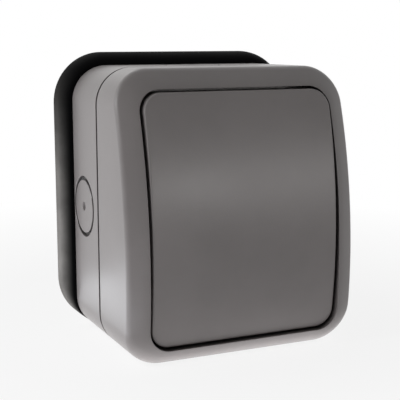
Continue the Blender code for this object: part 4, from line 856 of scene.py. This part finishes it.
def seatPoints(name, seats):
    mesh = bpy.data.meshes.new(name)
    mesh.from_pydata([(x * mm, -depth * mm, z * mm) for x, depth, z in seats], [], [])
    return newObject(name, mesh)


def makeScrews():
    tree = screwTree()
    for name, kind in screwKinds.items():
        paint = brass if kind["slot"] == "brass" else zincSteel
        values = {**inMetres(kind), **inMetres(screwFinish), "material": paint}
        screws = applyTree(seatPoints(name, kind["seats"]), tree, values)
        complete(screws, paint, "housing", *kind["nodes"], slot=kind["slot"])


def makeInserts():
    values = {**inMetres(insertShape), "teeth": insertShape["teeth"], "material": brass}
    inserts = applyTree(seatPoints("threadInserts", insertShape["seats"]), insertTree(), values)
    complete(inserts, brass, "housing", *("thread_insert_" + corner for corner in cornerNames), slot="brass")


# Plunger spring: a coil along the dolly's axis
springShape = {"from": 30.7, "to": 33.7, "coil radius": 1.4, "wire radius": 0.2, "turns": 4.0, "travel": 0.8,
               "dollyPivot": 36.0, "dollyTilt": -8.4}


def springTree():
    net = shapeTree("coilSpring", {**dict.fromkeys(("coil radius", "wire radius", "height"), mm), "turns": 4.0})
    size = net.given
    helix = net.out("GeometryNodeCurveSpiral", {
        "Resolution": fineness["coil"], "Rotations": size["turns"], "Start Radius": size["coil radius"],
        "End Radius": size["coil radius"], "Height": size["height"]})
    ring = net.out("GeometryNodeCurvePrimitiveCircle", {
        "Resolution": fineness["wire"], "Radius": size["wire radius"]})
    wire = {"Curve": helix, "Profile Curve": ring, "Fill Caps": True}
    return onSeats(net, net.out("GeometryNodeCurveToMesh", wire), 0.2)


def makeSpring():
    s = inMetres(springShape)
    foot = seatPoints("plungerSpring", [(0.0, springShape["from"], housing["openingHeightMiddle"])])
    coil = applyTree(foot, springTree(), {
        **s, "height": s["to"] - s["from"], "turns": springShape["turns"], "material": zincSteel})
    leaning = tiltAbout(Vector((0, -s["dollyPivot"], middle)), springShape["dollyTilt"])
    coil.data.transform(leaning)
    complete(coil, zincSteel, "dolly_lever", "plunger_spring", slot="zinc_steel")
    # the points where its two ends stand, along its lean
    ends = (s["to"] + s["wire radius"], s["from"] - s["wire radius"])
    seat, foot = (leaning @ Vector((0, -depth, middle)) for depth in ends)
    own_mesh(coil)


# Rubber boot: a soft fold between the flange on the pan and the neck that grips the blade
bootShape = {"flangeWidth": 23.0, "flangeHeight": 19.0, "flangeCorner": 4.5, "footWidth": 16.6, "footHeight": 12.6,
             "footCorner": 2.0, "neckWidth": 8.6, "neckHeight": 2.6, "neckCorner": 0.5, "wall": 1.1, "rise": 5.2,
             "neck": 1.6, "fold": 0.55, "edge": 0.3, "footEdge": 0.4, "mouthEdge": 0.2, "steps": 14}


def makeBoot():
    s, steps, edge = inMetres(bootShape), bootShape["steps"], bootShape["edge"]
    base, axis, wall = pan + gap, Vector((0, -pivot, middle, 0)), s["wall"]

    def line(part, grow=0.0):
        return roundedOutline(s[part + "Width"] + 2 * grow, s[part + "Height"] + 2 * grow,
                              s[part + "Corner"] + grow, middle, 6, 6)

    def tilted(ring, share):
        turn = Matrix.Rotation(radians(housing["restTilt"] * share), 4, "X")
        return [turn @ (point - axis) + axis for point in ring]

    def sleeve(grow, startDepth):
        rings = []
        for k in range(1, steps + 1):
            share = k / steps
            fold = s["fold"] * sin(2 * pi * share) * (1 - share)
            ring = mixLines(line("foot", grow + fold), line("neck", grow + fold), share * share * (3 - 2 * share))
            rings.append((tilted(atDepth(ring, startDepth + s["rise"] * share), share), 0))
        return rings

    top = base + wall + s["rise"] + s["neck"]
    rings = [(atDepth(line("flange"), base), edge), (atDepth(line("flange"), base + wall), edge),
             (atDepth(line("foot", wall), base + wall), bootShape["footEdge"])] + sleeve(wall, base + wall)
    rings += [(tilted(atDepth(line("neck", grow), top), 1), edge) for grow in (wall, 0.0)]
    inner = [(atDepth(line("foot"), base), bootShape["mouthEdge"]), (atDepth(line("foot"), base + wall / 2), 0)]
    inner += sleeve(0.0, base + wall / 2)
    boot = skin("rockerBoot", soften(rings + inner[::-1], closed=True), closed=True)
    complete(boot, blackRubber, None, "rocker_boot", slot="black_rubber", sharp=50)
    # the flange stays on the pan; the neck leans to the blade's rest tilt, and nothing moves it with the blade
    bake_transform(boot)


# The rest keeps its shape and gets its finish
finishes = {blackRubber: ("cover_seal",),
            whiteMoulding: ("mechanism_base", "mechanism_lid"),
            leverPlastic: ("dolly", "plunger"),
            zincSteel: ("pivot_pin_left", "pivot_pin_right", "dolly_pin"),
            brass: ("moving_contact", "common_terminal", "fixed_contact_upper", "fixed_contact_lower",
                    "earth_terminal"),
            contactSilver: ("fixed_tip_upper", "fixed_tip_lower", "moving_tip_upper", "moving_tip_lower")}


def finishTheRest():
    for paint, names in finishes.items():
        for name in names:
            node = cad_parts[name]
            if not node.material_slots:
                node.data.materials.append(paint)
            for place in node.material_slots:
                place.material = paint


makeWallSeal()
makeBackBox()
print("seal and box made")
makeFrontCover()
makeRocker()
print("cover and rocker made")
makeScrews()
makeInserts()
makeSpring()
makeBoot()
finishTheRest()
print("inner pieces made")


# Camera, floor and light
view = {"position": (-0.13814, -0.32597, 0.05469), "yaw": 24.6908, "pitch": -9.4467, "roll": -0.0993,
        "sensor": 36, "focal": 966.21 / 400 * 36, "nearest": 0.01}


def makeCamera():
    camera = newObject("viewpoint", bpy.data.cameras.new("viewpoint"))
    camera.data.lens, camera.data.sensor_width, camera.data.clip_start = view["focal"], view["sensor"], view["nearest"]
    turn = (Matrix.Rotation(radians(-view["yaw"]), 4, "Z") @ Matrix.Rotation(radians(90 + view["pitch"]), 4, "X")
            @ Matrix.Rotation(radians(view["roll"]), 4, "Z"))
    camera.matrix_world = Matrix.Translation(view["position"]) @ turn
    bpy.context.scene.camera = camera


def backdropShare(net):
    # 1 where a ray from the camera, a mirror or clear glass looks at the surroundings
    path = net.add("ShaderNodeLightPath").outputs
    return net.math("MAXIMUM", net.math("MAXIMUM", path["Is Camera Ray"], path["Is Glossy Ray"]),
                    path["Is Transmission Ray"])


# a light table: it glows most close round the foot, and turns to plain white away from the object
floorLook = {"glow": 0.10, "footGlow": 2.0, "footReach": 0.009, "glowColour": (0.97, 0.985, 1, 1),
             "colour": (0.88, 0.88, 0.88, 1), "roughness": 0.9, "near": 0.09, "far": 0.26, "whiteNear": 0.87,
             "size": 3.0, "below": 0.0003}
worldLook = {"colour": (0.96, 0.98, 1.0, 1), "level": 0.025}
white = {"Color": (1, 1, 1, 1), "Strength": 1.0}


def footShare(net, place):
    # 1 at the outline of the object's foot, falling to 0 at the reach
    parts, halfDepth = net.parts(place), -cadLow.y / 2
    across = net.less(net.math("ABSOLUTE", parts[0]), sizes["bodyWidth"] / 2)
    along = net.less(net.math("ABSOLUTE", net.plus(parts[1], halfDepth)), halfDepth)
    return net.ramp(net.math("MAXIMUM", across, along), 0.0, floorLook["footReach"], 1.0, 0.0,
                    interpolation_type="SMOOTHSTEP")


def makeFloor():
    look, bm = floorLook, bmesh.new()
    bmesh.ops.create_grid(bm, x_segments=1, y_segments=1, size=look["size"])
    floor = fromBmesh("floor", bm)
    floor.data.transform(Matrix.Translation((0, 0, cadLow.z - look["below"])))
    made, net, place = newMaterial("paleFloor")
    shader = made.node_tree.nodes["Principled BSDF"]
    net.feed(shader, {"Base Color": look["colour"], "Roughness": look["roughness"], "Specular IOR Level": 0.0})
    strength = net.plus(net.times(footShare(net, place), look["footGlow"]), look["glow"])
    strength = net.times(strength, net.less(1.0, backdropShare(net)))
    glow = net.out("ShaderNodeEmission", {"Color": look["glowColour"], "Strength": strength})
    lit = net.out("ShaderNodeAddShader", {0: shader.outputs[0], 1: glow})
    away = net.out("ShaderNodeVectorMath", {0: place}, "Value", operation="LENGTH")
    fade = net.ramp(away, look["near"], look["far"], look["whiteNear"], 1.0)
    plainWhite = net.out("ShaderNodeEmission", white)
    mixed = net.out("ShaderNodeMixShader", {0: net.times(backdropShare(net), fade), 1: lit, 2: plainWhite})
    net.feed(made.node_tree.nodes["Material Output"], {"Surface": mixed})
    floor.data.materials.append(made)


def makeWorld():
    world = bpy.data.worlds.new("studio")
    bpy.context.scene.world = world
    world.use_nodes = True
    net, plain = NodeNet(world.node_tree), world.node_tree.nodes["Background"]
    net.feed(plain, {"Color": worldLook["colour"], "Strength": worldLook["level"]})
    plainWhite = net.out("ShaderNodeBackground", white)
    mixed = net.out("ShaderNodeMixShader", {0: backdropShare(net), 1: plain.outputs[0], 2: plainWhite})
    net.feed(world.node_tree.nodes["World Output"], {"Surface": mixed})


# The light comes mostly from behind, left and above, and up from a light table; the front has little of its own
heart = (0, -0.03, 0)
lamps = {  # where each stands, what it faces, its width and height, its watts and its colour
    "backLeftPanel": ((-0.65, 0.35, 0.05), heart, (0.5, 0.5), 0.6, (0.94, 0.975, 1.0)),
    "backTopPanel": ((-0.10, 0.50, 0.60), heart, (0.5, 0.5), 0.95, (1.0, 0.995, 0.985)),
    "leftTopPanel": ((-0.50, 0.10, 0.35), heart, (0.45, 0.45), 0.95, (0.955, 0.985, 1.0)),
    "rimPanel": ((-0.50, -0.08, 0.25), (0, -0.06, 0.03), (0.05, 0.05), 0.5, (0.99, 0.99, 1.0)),
    "leftFloorPanel": ((-0.105, -0.02, -0.0455), (-0.105, -0.02, 1), (0.10, 0.16), 0.085, (0.92, 0.95, 1.0)),
    "frontFloorPanel": ((0.0, -0.115, -0.0455), (0.0, -0.115, 1), (0.16, 0.08), 0.006, (0.97, 0.98, 1.0)),
    "frontStrip": ((0.36, -0.77, 0.075), heart, (0.5, 0.10), 0.74, (1.0, 0.98, 0.97))}


def makeLamps():
    for name, (place, target, size, watts, colour) in lamps.items():
        data = bpy.data.lights.new(name, "AREA")
        data.shape, data.energy, data.color = "RECTANGLE", watts, colour
        data.size, data.size_y = size
        made = newObject(name, data)
        made.location = place
        made.rotation_euler = (Vector(target) - Vector(place)).to_track_quat("-Z", "Y").to_euler()
        made.visible_camera = False


makeCamera()
makeFloor()
makeWorld()
makeLamps()
bpy.context.scene.view_settings.view_transform = "Standard"
print("camera, floor and light set")
